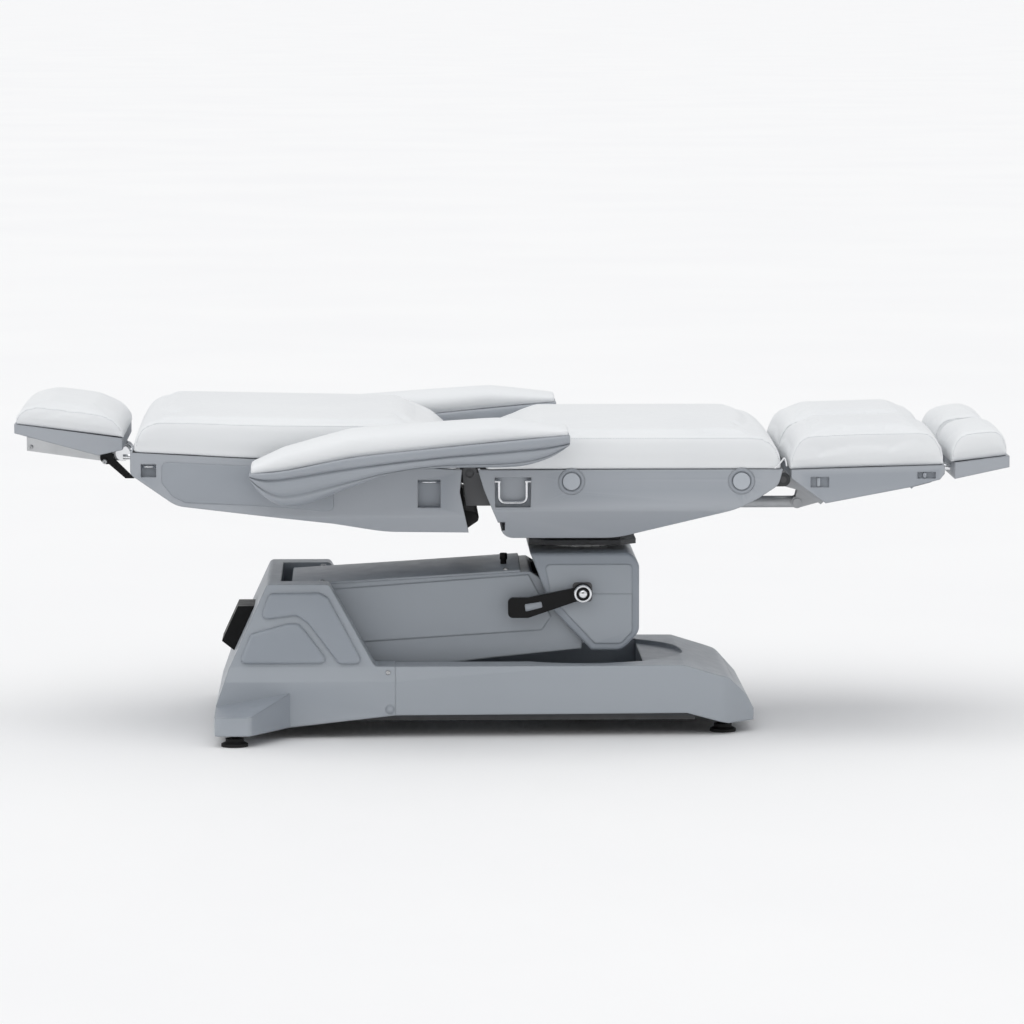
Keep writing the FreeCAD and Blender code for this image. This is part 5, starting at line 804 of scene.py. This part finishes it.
@dataclass(frozen=True)
class PadShape:
    """The sizes of a cushion on a straight deck, from which its stations follow."""

    ends: tuple[float, float]
    decks: tuple[float, float]
    rises: tuple[float, float]
    crown: float
    runs: tuple[float, float]
    forms: tuple[EndForm, EndForm] = (EndForm.ROLLED, EndForm.ROLLED)

    def stations(self) -> Stations:
        """Place, deck, seam and crown of each section from end to end."""
        (x0, x1), (run0, run1) = self.ends, self.runs
        places = [(x0 + run0 * share, fill) for share, fill in self.forms[0].value]
        places += [(x0 + run0 + (x1 - run1 - x0 - run0) * share, 1.0) for share in (0.25, 0.5, 0.75)]
        places += [(x1 - run1 * share, fill) for share, fill in reversed(self.forms[1].value)]
        rows = []
        for x, fill in places:
            share = (x - x0) / (x1 - x0)
            deck = self.decks[0] + (self.decks[1] - self.decks[0]) * share
            rise = self.rises[0] + (self.rises[1] - self.rises[0]) * share
            rows.append((x, deck, deck + rise * fill, deck + (rise + self.crown) * fill))
        return rows


@dataclass
class Upholstery:
    """All nine pads of the chair."""

    seat: PadShape = PadShape(
        (-0.053, 0.508), (0.5124, 0.5124), (0.0706, 0.0706), 0.014, (0.120, 0.058),
        (EndForm.VALLEY, EndForm.ROLLED))
    back: PadShape = PadShape(
        (-0.706, -0.095), (0.5463, 0.5126), (0.066, 0.088), 0.012, (0.050, 0.120),
        (EndForm.ROLLED, EndForm.VALLEY))
    rest: PadShape = PadShape(
        (-0.930, -0.721), (0.590, 0.564), (0.047, 0.047), 0.007, (0.060, 0.060))
    leg: PadShape = PadShape(
        (0.515, 0.809), (0.5114, 0.5194), (0.072, 0.072), 0.011, (0.046, 0.046))
    foot: PadShape = PadShape(
        (0.817, 0.930), (0.5224, 0.5354), (0.058, 0.058), 0.009, (0.034, 0.034))
    arm: Stations = (
        (-0.486, 0.516, 0.531, 0.538), (-0.424, 0.521, 0.552, 0.566), (-0.299, 0.545, 0.584, 0.601),
        (-0.024, 0.574, 0.605, 0.619), (0.106, 0.586, 0.598, 0.603))

    def cushions(self) -> list[Cushion]:
        """The nine pads with their bodies and places."""
        pads = [
            Cushion("seat_cushion", "seat", 0.0, 0.310, self.seat.stations(), cap=0.022, voxel=0.0065),
            Cushion("back_cushion", "back", 0.0, 0.310, self.back.stations(), cap=0.022, voxel=0.0065),
            Cushion("headrest_cushion", "headrest", 0.0, 0.200, self.rest.stations(), voxel=0.005)]
        for side in Side:
            word, sign = side.word, side.value
            pads += [
                Cushion(f"leg_cushion_{word}", f"leg_{word}", sign * 0.157, 0.149, self.leg.stations(),
                        voxel=0.005),
                Cushion(f"footrest_cushion_{word}", f"foot_{word}", sign * 0.157, 0.133, self.foot.stations(),
                        voxel=0.004),
                Cushion(f"armrest_pad_{word}", f"armrest_{word}", sign * 0.3705, 0.0535, self.arm, cap=0.008,
                        voxel=0.004, sewn=False)]
        return pads

    def build(self) -> None:
        """Cuts, blows up, sews and hangs every pad."""
        pads = self.cushions()
        for pad in pads:
            pad.cut_out()
            pad.pin()
        for step in range(1, BLOW_FRAMES + 1):
            bpy.context.scene.frame_set(step)
        for pad in pads:
            pad.settle()
        bpy.context.scene.frame_set(1)
        for pad in pads:
            pad.sew()
            pad.stitch()
            pad.hand_over()


@dataclass
class Base:
    """The standing base: moulded covers, chassis, feet and the mains inlet."""

    upper_field: Profile = (
        (-0.471, 0.222), (-0.453, 0.272), (-0.358, 0.273), (-0.342, 0.264), (-0.275, 0.140), (-0.322, 0.140),
        (-0.380, 0.216), (-0.402, 0.231))
    lower_field: Profile = (
        (-0.511, 0.141), (-0.487, 0.197), (-0.419, 0.216), (-0.398, 0.216), (-0.386, 0.203), (-0.338, 0.141))
    shoulder: tuple[float, float] = (0.233, 0.135)
    lean: float = 0.1373
    cap_at: tuple[float, float] = (-0.2265, 0.055)
    screw_at: tuple[float, float] = (-0.230, 0.124)
    screw_radius: float = 0.0048
    field_corner: float = 0.012
    field_height: float = 0.0078
    field_rim: float = 0.0062

    def build(self) -> None:
        """Dresses the base and adds the tower's raised fields, screw caps and screws."""
        dress("cover", "rear_base_cover", "front_base_cover")
        dress("frame_steel", "base_frame")
        dress("black", "mains_inlet")
        dress("steel", "base_pivot_shafts")
        dress("rubber", *(f"levelling_foot_{end}_{side.word}" for end in ("rear", "front") for side in Side))
        for side in Side:
            self.add_fields(side)
            self.add_screws(side)

    def add_fields(self, side: Side) -> None:
        """Adds the two raised fields on one side of the tower."""
        width, height = self.shoulder

        def lay(x: float, z: float, rise: float) -> Point:
            return x, side.value * (width - self.lean * (z - height) + rise), z

        for word, corners in (("upper", self.upper_field), ("lower", self.lower_field)):
            plate = raised(f"tower_field_{word}_{side.word}", rounded(corners, self.field_corner), lay,
                           self.field_height, self.field_rim, "cover")
            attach(plate, "base")

    def add_screws(self, side: Side) -> None:
        """Adds the flat screw cap and the domed screw by the joint of the two covers."""
        x, z = self.cap_at
        spot, normal = touch("rear_base_cover", (x, side.value, z), (0, -side.value, 0))
        profile = [(0.0094, -0.001), (0.0094, 0.0004), (0.0088, 0.0009), (0.0080, 0.0009), (0.0076, 0.0002),
                   (0.0070, 0.0002), (0.0066, 0.0009), (0.0, 0.0011)]
        cap = turned(f"base_cap_{side.word}", profile, spot, normal, "cover")
        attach(cap, "base")
        x, z = self.screw_at
        dome_screw(f"base_screw_{side.word}", "rear_base_cover", "base", (x, side.value, z),
                   (0, -side.value, 0), self.screw_radius)


@dataclass
class Lift:
    """The lift arm with its covers, links, motor and head block."""

    grip_field: Profile = (
        (0.028, 0.245), (0.060, 0.250), (0.062, 0.239), (0.030, 0.231))
    hub_field: Profile = (
        (0.1195, 0.2845), (0.1565, 0.2845), (0.1565, 0.2475), (0.1195, 0.2475))
    overhead: float = 0.5
    screw_rows: Sequence[tuple[str, float]] = (("rear", -0.354), ("front", -0.006))
    screw_y: float = 0.128
    knob_at: tuple[float, float] = (-0.0095, -0.08)
    grip_at: tuple[float, float] = (0.045, 0.241)
    wall_at: tuple[float, float] = (0.165, 0.250)

    def build(self) -> None:
        """Dresses the lift and adds the knob, the screws and the lever's fittings."""
        dress("cover", "arm_cover", "arm_top_cover", "head_cover")
        dress("frame_steel", "arm_frame", "tie_links", "head_frame", "lift_motor", "swivel_plate")
        dress("chrome", "lift_rod", "swivel_lever_hub")
        dress("steel", "head_pivot_shafts", "swivel_bearing")
        dress("black", "swivel_lever")
        for side in Side:
            for word, x in self.screw_rows:
                dome_screw(f"arm_screw_{word}_{side.word}", "arm_top_cover", "lift_arm",
                           (x, side.value * self.screw_y, self.overhead), (0, 0, -1))
        self.add_knob()
        self.add_lever_fittings()

    def add_knob(self) -> None:
        """Adds the dark buffer knob on the arm's top cover."""
        spot, _ = touch("arm_top_cover", (*self.knob_at, self.overhead), (0, 0, -1))
        profile = [(0.0058, -0.001), (0.0058, 0.007), (0.0072, 0.0085), (0.0072, 0.0190), (0.0064, 0.0202),
                   (0.0, 0.0206)]
        knob = turned("arm_knob", profile, spot, (0, 0, 1), "black", 28)
        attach(knob, "lift_arm")

    def add_lever_fittings(self) -> None:
        """Adds the inlay in the lever's handle and the dark plate behind its hub."""
        x, z = self.grip_at
        face, _ = touch("swivel_lever", (x, -1.0, z), (0, 1, 0))
        inlay = raised("lever_inlay", rounded(self.grip_field, 0.003),
                       lambda x, z, rise: (x, face.y - rise, z), 0.0007, 0.0005, "shell")
        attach(inlay, "lock_lever")
        x, z = self.wall_at
        wall, _ = touch("head_cover", (x, -1.0, z), (0, 1, 0))
        plate = raised("hub_plate", rounded(self.hub_field, 0.008),
                       lambda x, z, rise: (x, wall.y - rise, z), 0.0022, 0.0012, "guard")
        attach(plate, "lift_head")
        self.add_hub_trim()

    def add_hub_trim(self) -> None:
        """Adds the bright ring, the dark well and the domed bolt on the lever's hub."""
        low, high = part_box("swivel_lever_hub")
        reach = (high.x - low.x) / 2
        face, _ = touch("swivel_lever_hub", ((low.x + high.x) / 2, -1.0, (low.z + high.z) / 2), (0, 1, 0))
        ring = [(reach * 0.98, -0.0006), (reach * 0.98, 0.0010), (reach * 0.92, 0.0022),
                (reach * 0.80, 0.0022), (reach * 0.74, 0.0012), (reach * 0.72, 0.0002)]
        well = [(reach * 0.74, -0.0006), (reach * 0.74, 0.0004), (0.0, 0.0004)]
        bolt = [(reach * 0.46, -0.0006), (reach * 0.46, 0.0026), (reach * 0.38, 0.0040),
                (reach * 0.20, 0.0048), (0.0, 0.0050)]
        rows = (("ring", ring, "chrome"), ("well", well, "black"), ("bolt", bolt, "chrome"))
        for word, profile, finish in rows:
            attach(turned(f"hub_{word}", profile, face, (0, -1, 0), finish), "lock_lever")


@dataclass
class Seat:
    """The seat with its shell, frame, hinge parts and D-rings."""

    cap_places: Profile = ((0.112, 0.490), (0.429, 0.490))
    dish: Profile = (
        (0.0248, -0.0014), (0.0248, -0.0001), (0.0236, -0.0001), (0.0205, -0.0004), (0.0175, -0.0006),
        (0.0163, -0.0007), (0.0163, -0.0014))
    welt: Profile = (
        (0.4900, 0.5140), (0.4985, 0.5215), (0.5050, 0.5300), (0.5078, 0.5330), (0.5103, 0.5290),
        (0.5125, 0.5180))
    welt_y: float = 0.3035
    welt_radius: float = 0.0014
    shell_y: float = 0.300

    def build(self) -> None:
        """Dresses the seat and adds the dishes round its caps and the welt at its front."""
        dress("shell", "seat_shell")
        dress("pale", "seat_caps")
        dress("guard", "hinge_guards")
        dress("frame_steel", "seat_frame", "back_motor")
        dress("guard", "hinge_pins")
        dress("chrome", "back_rod", "d_ring_right", "d_ring_left")
        for side in Side:
            for index, (x, z) in enumerate(self.cap_places):
                ring = self.dish + self.dish[:1]
                dish = turned(f"cap_dish_{side.word}_{index}", ring, (x, side.value * self.shell_y, z),
                              (0, side.value, 0), "shell")
                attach(dish, "seat")
            tail = [(x, side.value * self.welt_y, z) for x, z in self.welt]
            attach(cord(f"seat_welt_{side.word}", tail, self.welt_radius, "leather"), "seat")


def height_on(line: Profile, x: float) -> float:
    """The height of a smooth line at X.

    Args:
        line: places the line passes, in order of X.
        x: where it is read.

    Returns:
        The height.
    """
    last = len(line) - 1
    spans = [(line[max(0, index - 1)], line[min(last, index + 1)]) for index in range(last + 1)]
    slopes = [(after[1] - before[1]) / (after[0] - before[0]) for before, after in spans]
    index = max(0, min(last - 1, sum(1 for place, _ in line if place < x) - 1))
    (x0, z0), (x1, z1) = line[index], line[index + 1]
    run = x1 - x0
    share = min(1.0, max(0.0, (x - x0) / run))
    bend = share * (1 - share)
    lean = (1 - share) * (slopes[index] * run - (z1 - z0)) + share * ((z1 - z0) - slopes[index + 1] * run)
    return z0 + (z1 - z0) * share + bend * lean


@dataclass
class ArmrestCarrier:
    """A moulded armrest carrier: a tray for the pad over two soft folds along its curved underside.

    Each line gives a height along X, in metres.
    """

    side: Side
    tray: Profile = (
        (-0.486, 0.516), (-0.424, 0.521), (-0.299, 0.545), (-0.204, 0.556), (-0.024, 0.574), (0.106, 0.586))
    upper_fold: Profile = (
        (-0.486, 0.511), (-0.459, 0.505), (-0.424, 0.507), (-0.299, 0.526), (-0.140, 0.545), (-0.024, 0.555),
        (0.060, 0.563), (0.106, 0.571))
    lower_fold: Profile = (
        (-0.486, 0.508), (-0.459, 0.486), (-0.424, 0.474), (-0.331, 0.493), (-0.235, 0.516), (-0.134, 0.530),
        (0.000, 0.535), (0.060, 0.546), (0.106, 0.568))
    under: Profile = (
        (-0.486, 0.505), (-0.476, 0.488), (-0.463, 0.474), (-0.443, 0.460), (-0.424, 0.453), (-0.384, 0.455),
        (-0.300, 0.487), (-0.235, 0.511), (-0.187, 0.521), (-0.096, 0.524), (0.013, 0.526), (0.059, 0.538),
        (0.086, 0.551), (0.098, 0.560), (0.106, 0.567))
    inner: float = 0.316
    outer: float = 0.4245
    pivot: tuple[float, float] = (-0.321, 0.500)
    pivot_radius: float = 0.0138
    pivot_length: float = 0.032
    pivot_foot: float = 0.289

    def section(self, x: float) -> Profile:
        """The carrier's cross-section at X, as distance from the chair's middle and height."""
        rows = (self.tray, self.upper_fold, self.lower_fold, self.under)
        top, first, second, low = (height_on(row, x) for row in rows)
        ends = min(x - self.tray[0][0], self.tray[-1][0] - x)
        draw = 0.006 * max(0.0, 1.0 - ends / 0.018) ** 2
        inner, outer = self.inner + draw, self.outer - draw
        return [
            (inner + 0.003, top + 0.0018), (inner + 0.007, top - 0.0008), (outer - 0.009, top - 0.0008),
            (outer - 0.005, top + 0.0018), (outer - 0.0008, top + 0.0006),
            (outer, top - 0.35 * (top - first)), (outer - 0.0008, first + 0.14 * (top - first)),
            (outer - 0.0135, first), (outer - 0.0062, first - 0.07 * (first - second)),
            (outer - 0.0045, first - 0.3 * (first - second)),
            (outer - 0.0072, second + 0.14 * (first - second)), (outer - 0.0225, second),
            (outer - 0.0150, second - 0.10 * (second - low)), (outer - 0.0190, (second + low) / 2),
            (outer - 0.0350, low + 0.08 * (second - low)), (outer - 0.0520, low), (inner + 0.020, low),
            (inner + 0.005, low + 0.1 * (top - low)), (inner, low + 0.35 * (top - low)),
            (inner, top - 0.15 * (top - low))]

    def build(self) -> None:
        """Moulds the carrier and its pivot."""
        sign = self.side.value
        start, stop = self.tray[0][0], self.tray[-1][0]
        places = [start, start + 0.003, start + 0.008]
        places += [start + 0.016 + (stop - start - 0.032) * index / 44 for index in range(45)]
        places += [stop - 0.008, stop - 0.003, stop]
        work = bmesh.new()
        rings = [[work.verts.new((x, sign * y, z)) for y, z in self.section(x)] for x in places]
        close_rings(work, rings)
        bmesh.ops.recalc_face_normals(work, faces=work.faces)
        rough = link("armrest_rough", as_mesh(work, "armrest_carrier"), "shell")
        rough.modifiers.new("finer", "SUBSURF").levels = 1
        carrier = link(f"armrest_carrier_{self.side.word}", evaluated(rough), "shell")
        bpy.data.objects.remove(rough)
        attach(carrier, f"armrest_{self.side.word}")
        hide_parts(f"armrest_shell_{self.side.word}")
        x, z = self.pivot
        radius, length = self.pivot_radius, self.pivot_length
        profile = [(0.0, 0.0), (radius, 0.0), (radius, length), (0.0, length)]
        foot = (x, sign * self.pivot_foot, z)
        boss = turned(f"armrest_pivot_{self.side.word}", profile, foot, (0, sign, 0), "shell")
        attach(boss, f"armrest_{self.side.word}")


@dataclass
class Back:
    """The back with its armrests and headrest."""

    hooks: Sequence[Point] = ((-0.674, 0.2945, 0.519), (-0.153, 0.2945, 0.489))
    hook_halves: tuple[float, float] = (0.0135, 0.0205)
    hook_radius: float = 0.0016
    rail_screw: tuple[float, float] = (-0.907, 0.534)
    rivet: tuple[float, float] = (-0.766, 0.508)
    # outline and half width of the near-black plate painting the shade inside the back shell's foot-end mouth
    painted_shade_half: float = 0.25
    painted_shade_plate: Profile = (
        (-0.101, 0.476), (-0.090, 0.476), (-0.087, 0.432), (-0.066, 0.428), (-0.059, 0.420), (-0.061, 0.411),
        (-0.080, 0.398), (-0.101, 0.398))
    side_field: Profile = (
        (-0.650, 0.529), (-0.650, 0.490), (-0.630, 0.464), (-0.606, 0.452), (-0.470, 0.446), (-0.330, 0.434),
        (-0.330, 0.513))

    def build(self) -> None:
        """Dresses the back and adds its armrest carriers, a dark plate that paints the shade in the shell's
        foot-end mouth, side fields, hook pins and screws.
        """
        dress("shell", "back_shell", "headrest_shell")
        dress("frame_steel", "back_frame")
        dress("chrome", "headrest_bracket")
        dress("aluminium", "headrest_rails")
        dress("black", "headrest_lever")
        for side in Side:
            for index, (x, y, z) in enumerate(self.hooks):
                half, radius = self.hook_halves[index], self.hook_radius
                profile = [(0.0, -half), (radius, -half), (radius, half), (0.0, half)]
                spot = (x, side.value * y, z)
                pin = turned(f"hook_pin_{side.word}_{index}", profile, spot, (1, 0, 0), "chrome", 16)
                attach(pin, "back")
            self.add_side_field(side)
            ArmrestCarrier(side).build()
            x, z = self.rail_screw
            dome_screw(f"rail_screw_{side.word}", "headrest_rails", "headrest", (x, side.value, z),
                       (0, -side.value, 0), 0.0045)
        x, z = self.rivet
        dome_screw("lever_rivet", "headrest_lever", "tilt_lever", (x, -1.0, z), (0, 1, 0), 0.005)
        # painted shade: a near-black plate across the back shell's foot end stands in for the shade inside
        # its open mouth
        half = self.painted_shade_half
        painted_shade_plate = raised("back_end_painted_shade", rounded(self.painted_shade_plate, 0.006),
                        lambda x, z, rise: (x, half - rise, z), 2 * half, 0.004, "rubber")
        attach(painted_shade_plate, "back")

    def add_side_field(self, side: Side) -> None:
        """Adds the low field moulded on one side of the back shell."""
        face, _ = touch("back_shell", (-0.560, side.value, 0.490), (0, -side.value, 0))
        plate = raised(f"back_field_{side.word}", rounded(self.side_field, 0.014),
                       lambda x, z, rise: (x, face.y + side.value * rise, z), 0.0016, 0.0014, "shell")
        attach(plate, "back")


@dataclass
class LegRests:
    """The two leg rests with their foot rests."""

    ribs: Sequence[Point] = ((0.573, 0.479, 0.496), (0.771, 0.495, 0.505))
    rib_half: float = 0.003
    rib_height: float = 0.0062

    def build(self) -> None:
        """Dresses both leg rests and adds the ribs in their side slots."""
        for side in Side:
            word = side.word
            dress("shell", f"leg_shell_{word}", f"footrest_shell_{word}")
            dress("strut", f"leg_bracket_{word}", f"strut_cylinder_{word}")
            dress("chrome", f"footrest_rails_{word}")
            dress("black", f"leg_release_{word}")
            for index, (x, low, high) in enumerate(self.ribs):
                self.add_rib(side, index, x, low, high)

    def add_rib(self, side: Side, index: int, x: float, low: float, high: float) -> None:
        """Adds an upright rib on the floor of a slot.

        Args:
            side: the leg rest's side.
            index: the slot's number along the leg rest.
            x: the rib's place along the leg rest.
            low: its foot's height.
            high: its head's height.
        """
        spot, _ = touch(f"leg_shell_{side.word}", (x, side.value, (low + high) / 2), (0, -side.value, 0))
        left, right = x - self.rib_half, x + self.rib_half
        outline = rounded([(left, low), (right, low), (right, high), (left, high)], 0.002)
        rib = raised(f"slot_rib_{side.word}_{index}", outline,
                     lambda u, v, rise: (u, spot.y + side.value * rise, v), self.rib_height, 0.002, "pale")
        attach(rib, f"leg_{side.word}")


@dataclass
class Studio:
    """The pale floor, the soft light and the camera."""

    target: Point = (0.009, 0.0, 0.4018)
    camera: Point = (-0.258, -10.190, 1.473)
    lens: float = 187.9
    floor_half: float = 450.0
    room_light: float = 0.75
    flag_share: float = 0.16
    sun: float = 1.05
    sun_spread: float = 75.0

    def build(self) -> None:
        """Sets up the studio."""
        self.lay_floor()
        self.hang_lights()
        self.place_camera()

    def lay_floor(self) -> None:
        """Lays a pale seamless floor."""
        work = bmesh.new()
        bmesh.ops.create_grid(work, x_segments=8, y_segments=8, size=self.floor_half)
        mesh = as_mesh(work, "floor")
        floor = bpy.data.objects.new("floor", mesh)
        bpy.context.scene.collection.objects.link(floor)
        sheet = FinishSheet("floor_paper")
        cloud = sheet.span(sheet.speckle(0.8, 2.0), 0.0, 1.0)
        colour = sheet.tint(cloud, (0.90, 0.90, 0.905), (0.92, 0.92, 0.92))
        sheet.feed(sheet.shader.inputs["Base Color"], colour)
        sheet.feed(sheet.shader.inputs["Roughness"], sheet.span(sheet.speckle(12.0, 3.0), 0.75, 0.9))
        mesh.materials.append(sheet.material)

    def hang_lights(self) -> None:
        """Lights a white room evenly and adds one very wide soft light from above the camera's side."""
        world = bpy.data.worlds.new("room")
        world.use_nodes = True
        world.node_tree.nodes["Background"].inputs["Color"].default_value = (0.985, 0.99, 1.0, 1.0)
        self.hang_flag(world.node_tree)
        bpy.context.scene.world = world
        lamp = bpy.data.lights.new("soft_light", "SUN")
        lamp.energy = self.sun
        lamp.angle = math.radians(self.sun_spread)
        holder = bpy.data.objects.new("soft_light", lamp)
        bpy.context.scene.collection.objects.link(holder)
        holder.rotation_euler = Vector((0.35, 0.55, -1.6)).to_track_quat("-Z", "Y").to_euler()

    def hang_flag(self, tree: bpy.types.NodeTree) -> None:
        """Hangs a dark upright flag in the room's front wall for the bright metal to mirror.

        Args:
            tree: the room's node tree.
        """
        sheet = NodeSheet(tree)
        place = sheet.add("SeparateXYZ", {0: sheet.add("TexCoord").outputs["Generated"]})
        width = sheet.add("Math", {0: place.outputs["X"]}, operation="ABSOLUTE")
        shares = []
        for source, near, far in ((width.outputs[0], 0.24, 0.12), (place.outputs["Y"], -0.75, -0.9),
                                  (place.outputs["Z"], 0.42, 0.25)):
            step = sheet.add("MapRange", {"Value": source, "From Min": near, "From Max": far})
            shares.append(step.outputs[0])
        flag = shares[0]
        for share in shares[1:]:
            flag = sheet.add("Math", {0: flag, 1: share}, operation="MULTIPLY").outputs[0]
        dark = self.flag_share * self.room_light
        light = sheet.add("MapRange", {"Value": flag, "To Min": self.room_light, "To Max": dark})
        sheet.feed(tree.nodes["Background"].inputs["Strength"], light.outputs[0])

    def place_camera(self) -> None:
        """Places the camera level with the photograph's view."""
        lens = bpy.data.cameras.new("camera")
        lens.lens = self.lens
        lens.sensor_width = 36.0
        lens.clip_end = 1000.0
        holder = bpy.data.objects.new("camera", lens)
        bpy.context.scene.collection.objects.link(holder)
        holder.location = self.camera
        sight = Vector(self.target) - Vector(self.camera)
        holder.rotation_euler = sight.to_track_quat("-Z", "Y").to_euler()
        bpy.context.scene.camera = holder
        bpy.context.scene.view_settings.view_transform = "Standard"


def main() -> None:
    """Builds the chair's looks in order."""
    logging.basicConfig(level=logging.INFO, format="%(name)s %(message)s")
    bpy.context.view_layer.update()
    for part in (Studio(), Base(), Lift(), Seat(), Back(), LegRests(), Upholstery()):
        part.build()
        log.info("%s built", type(part).__name__)


if __name__ == "__main__":
    main()
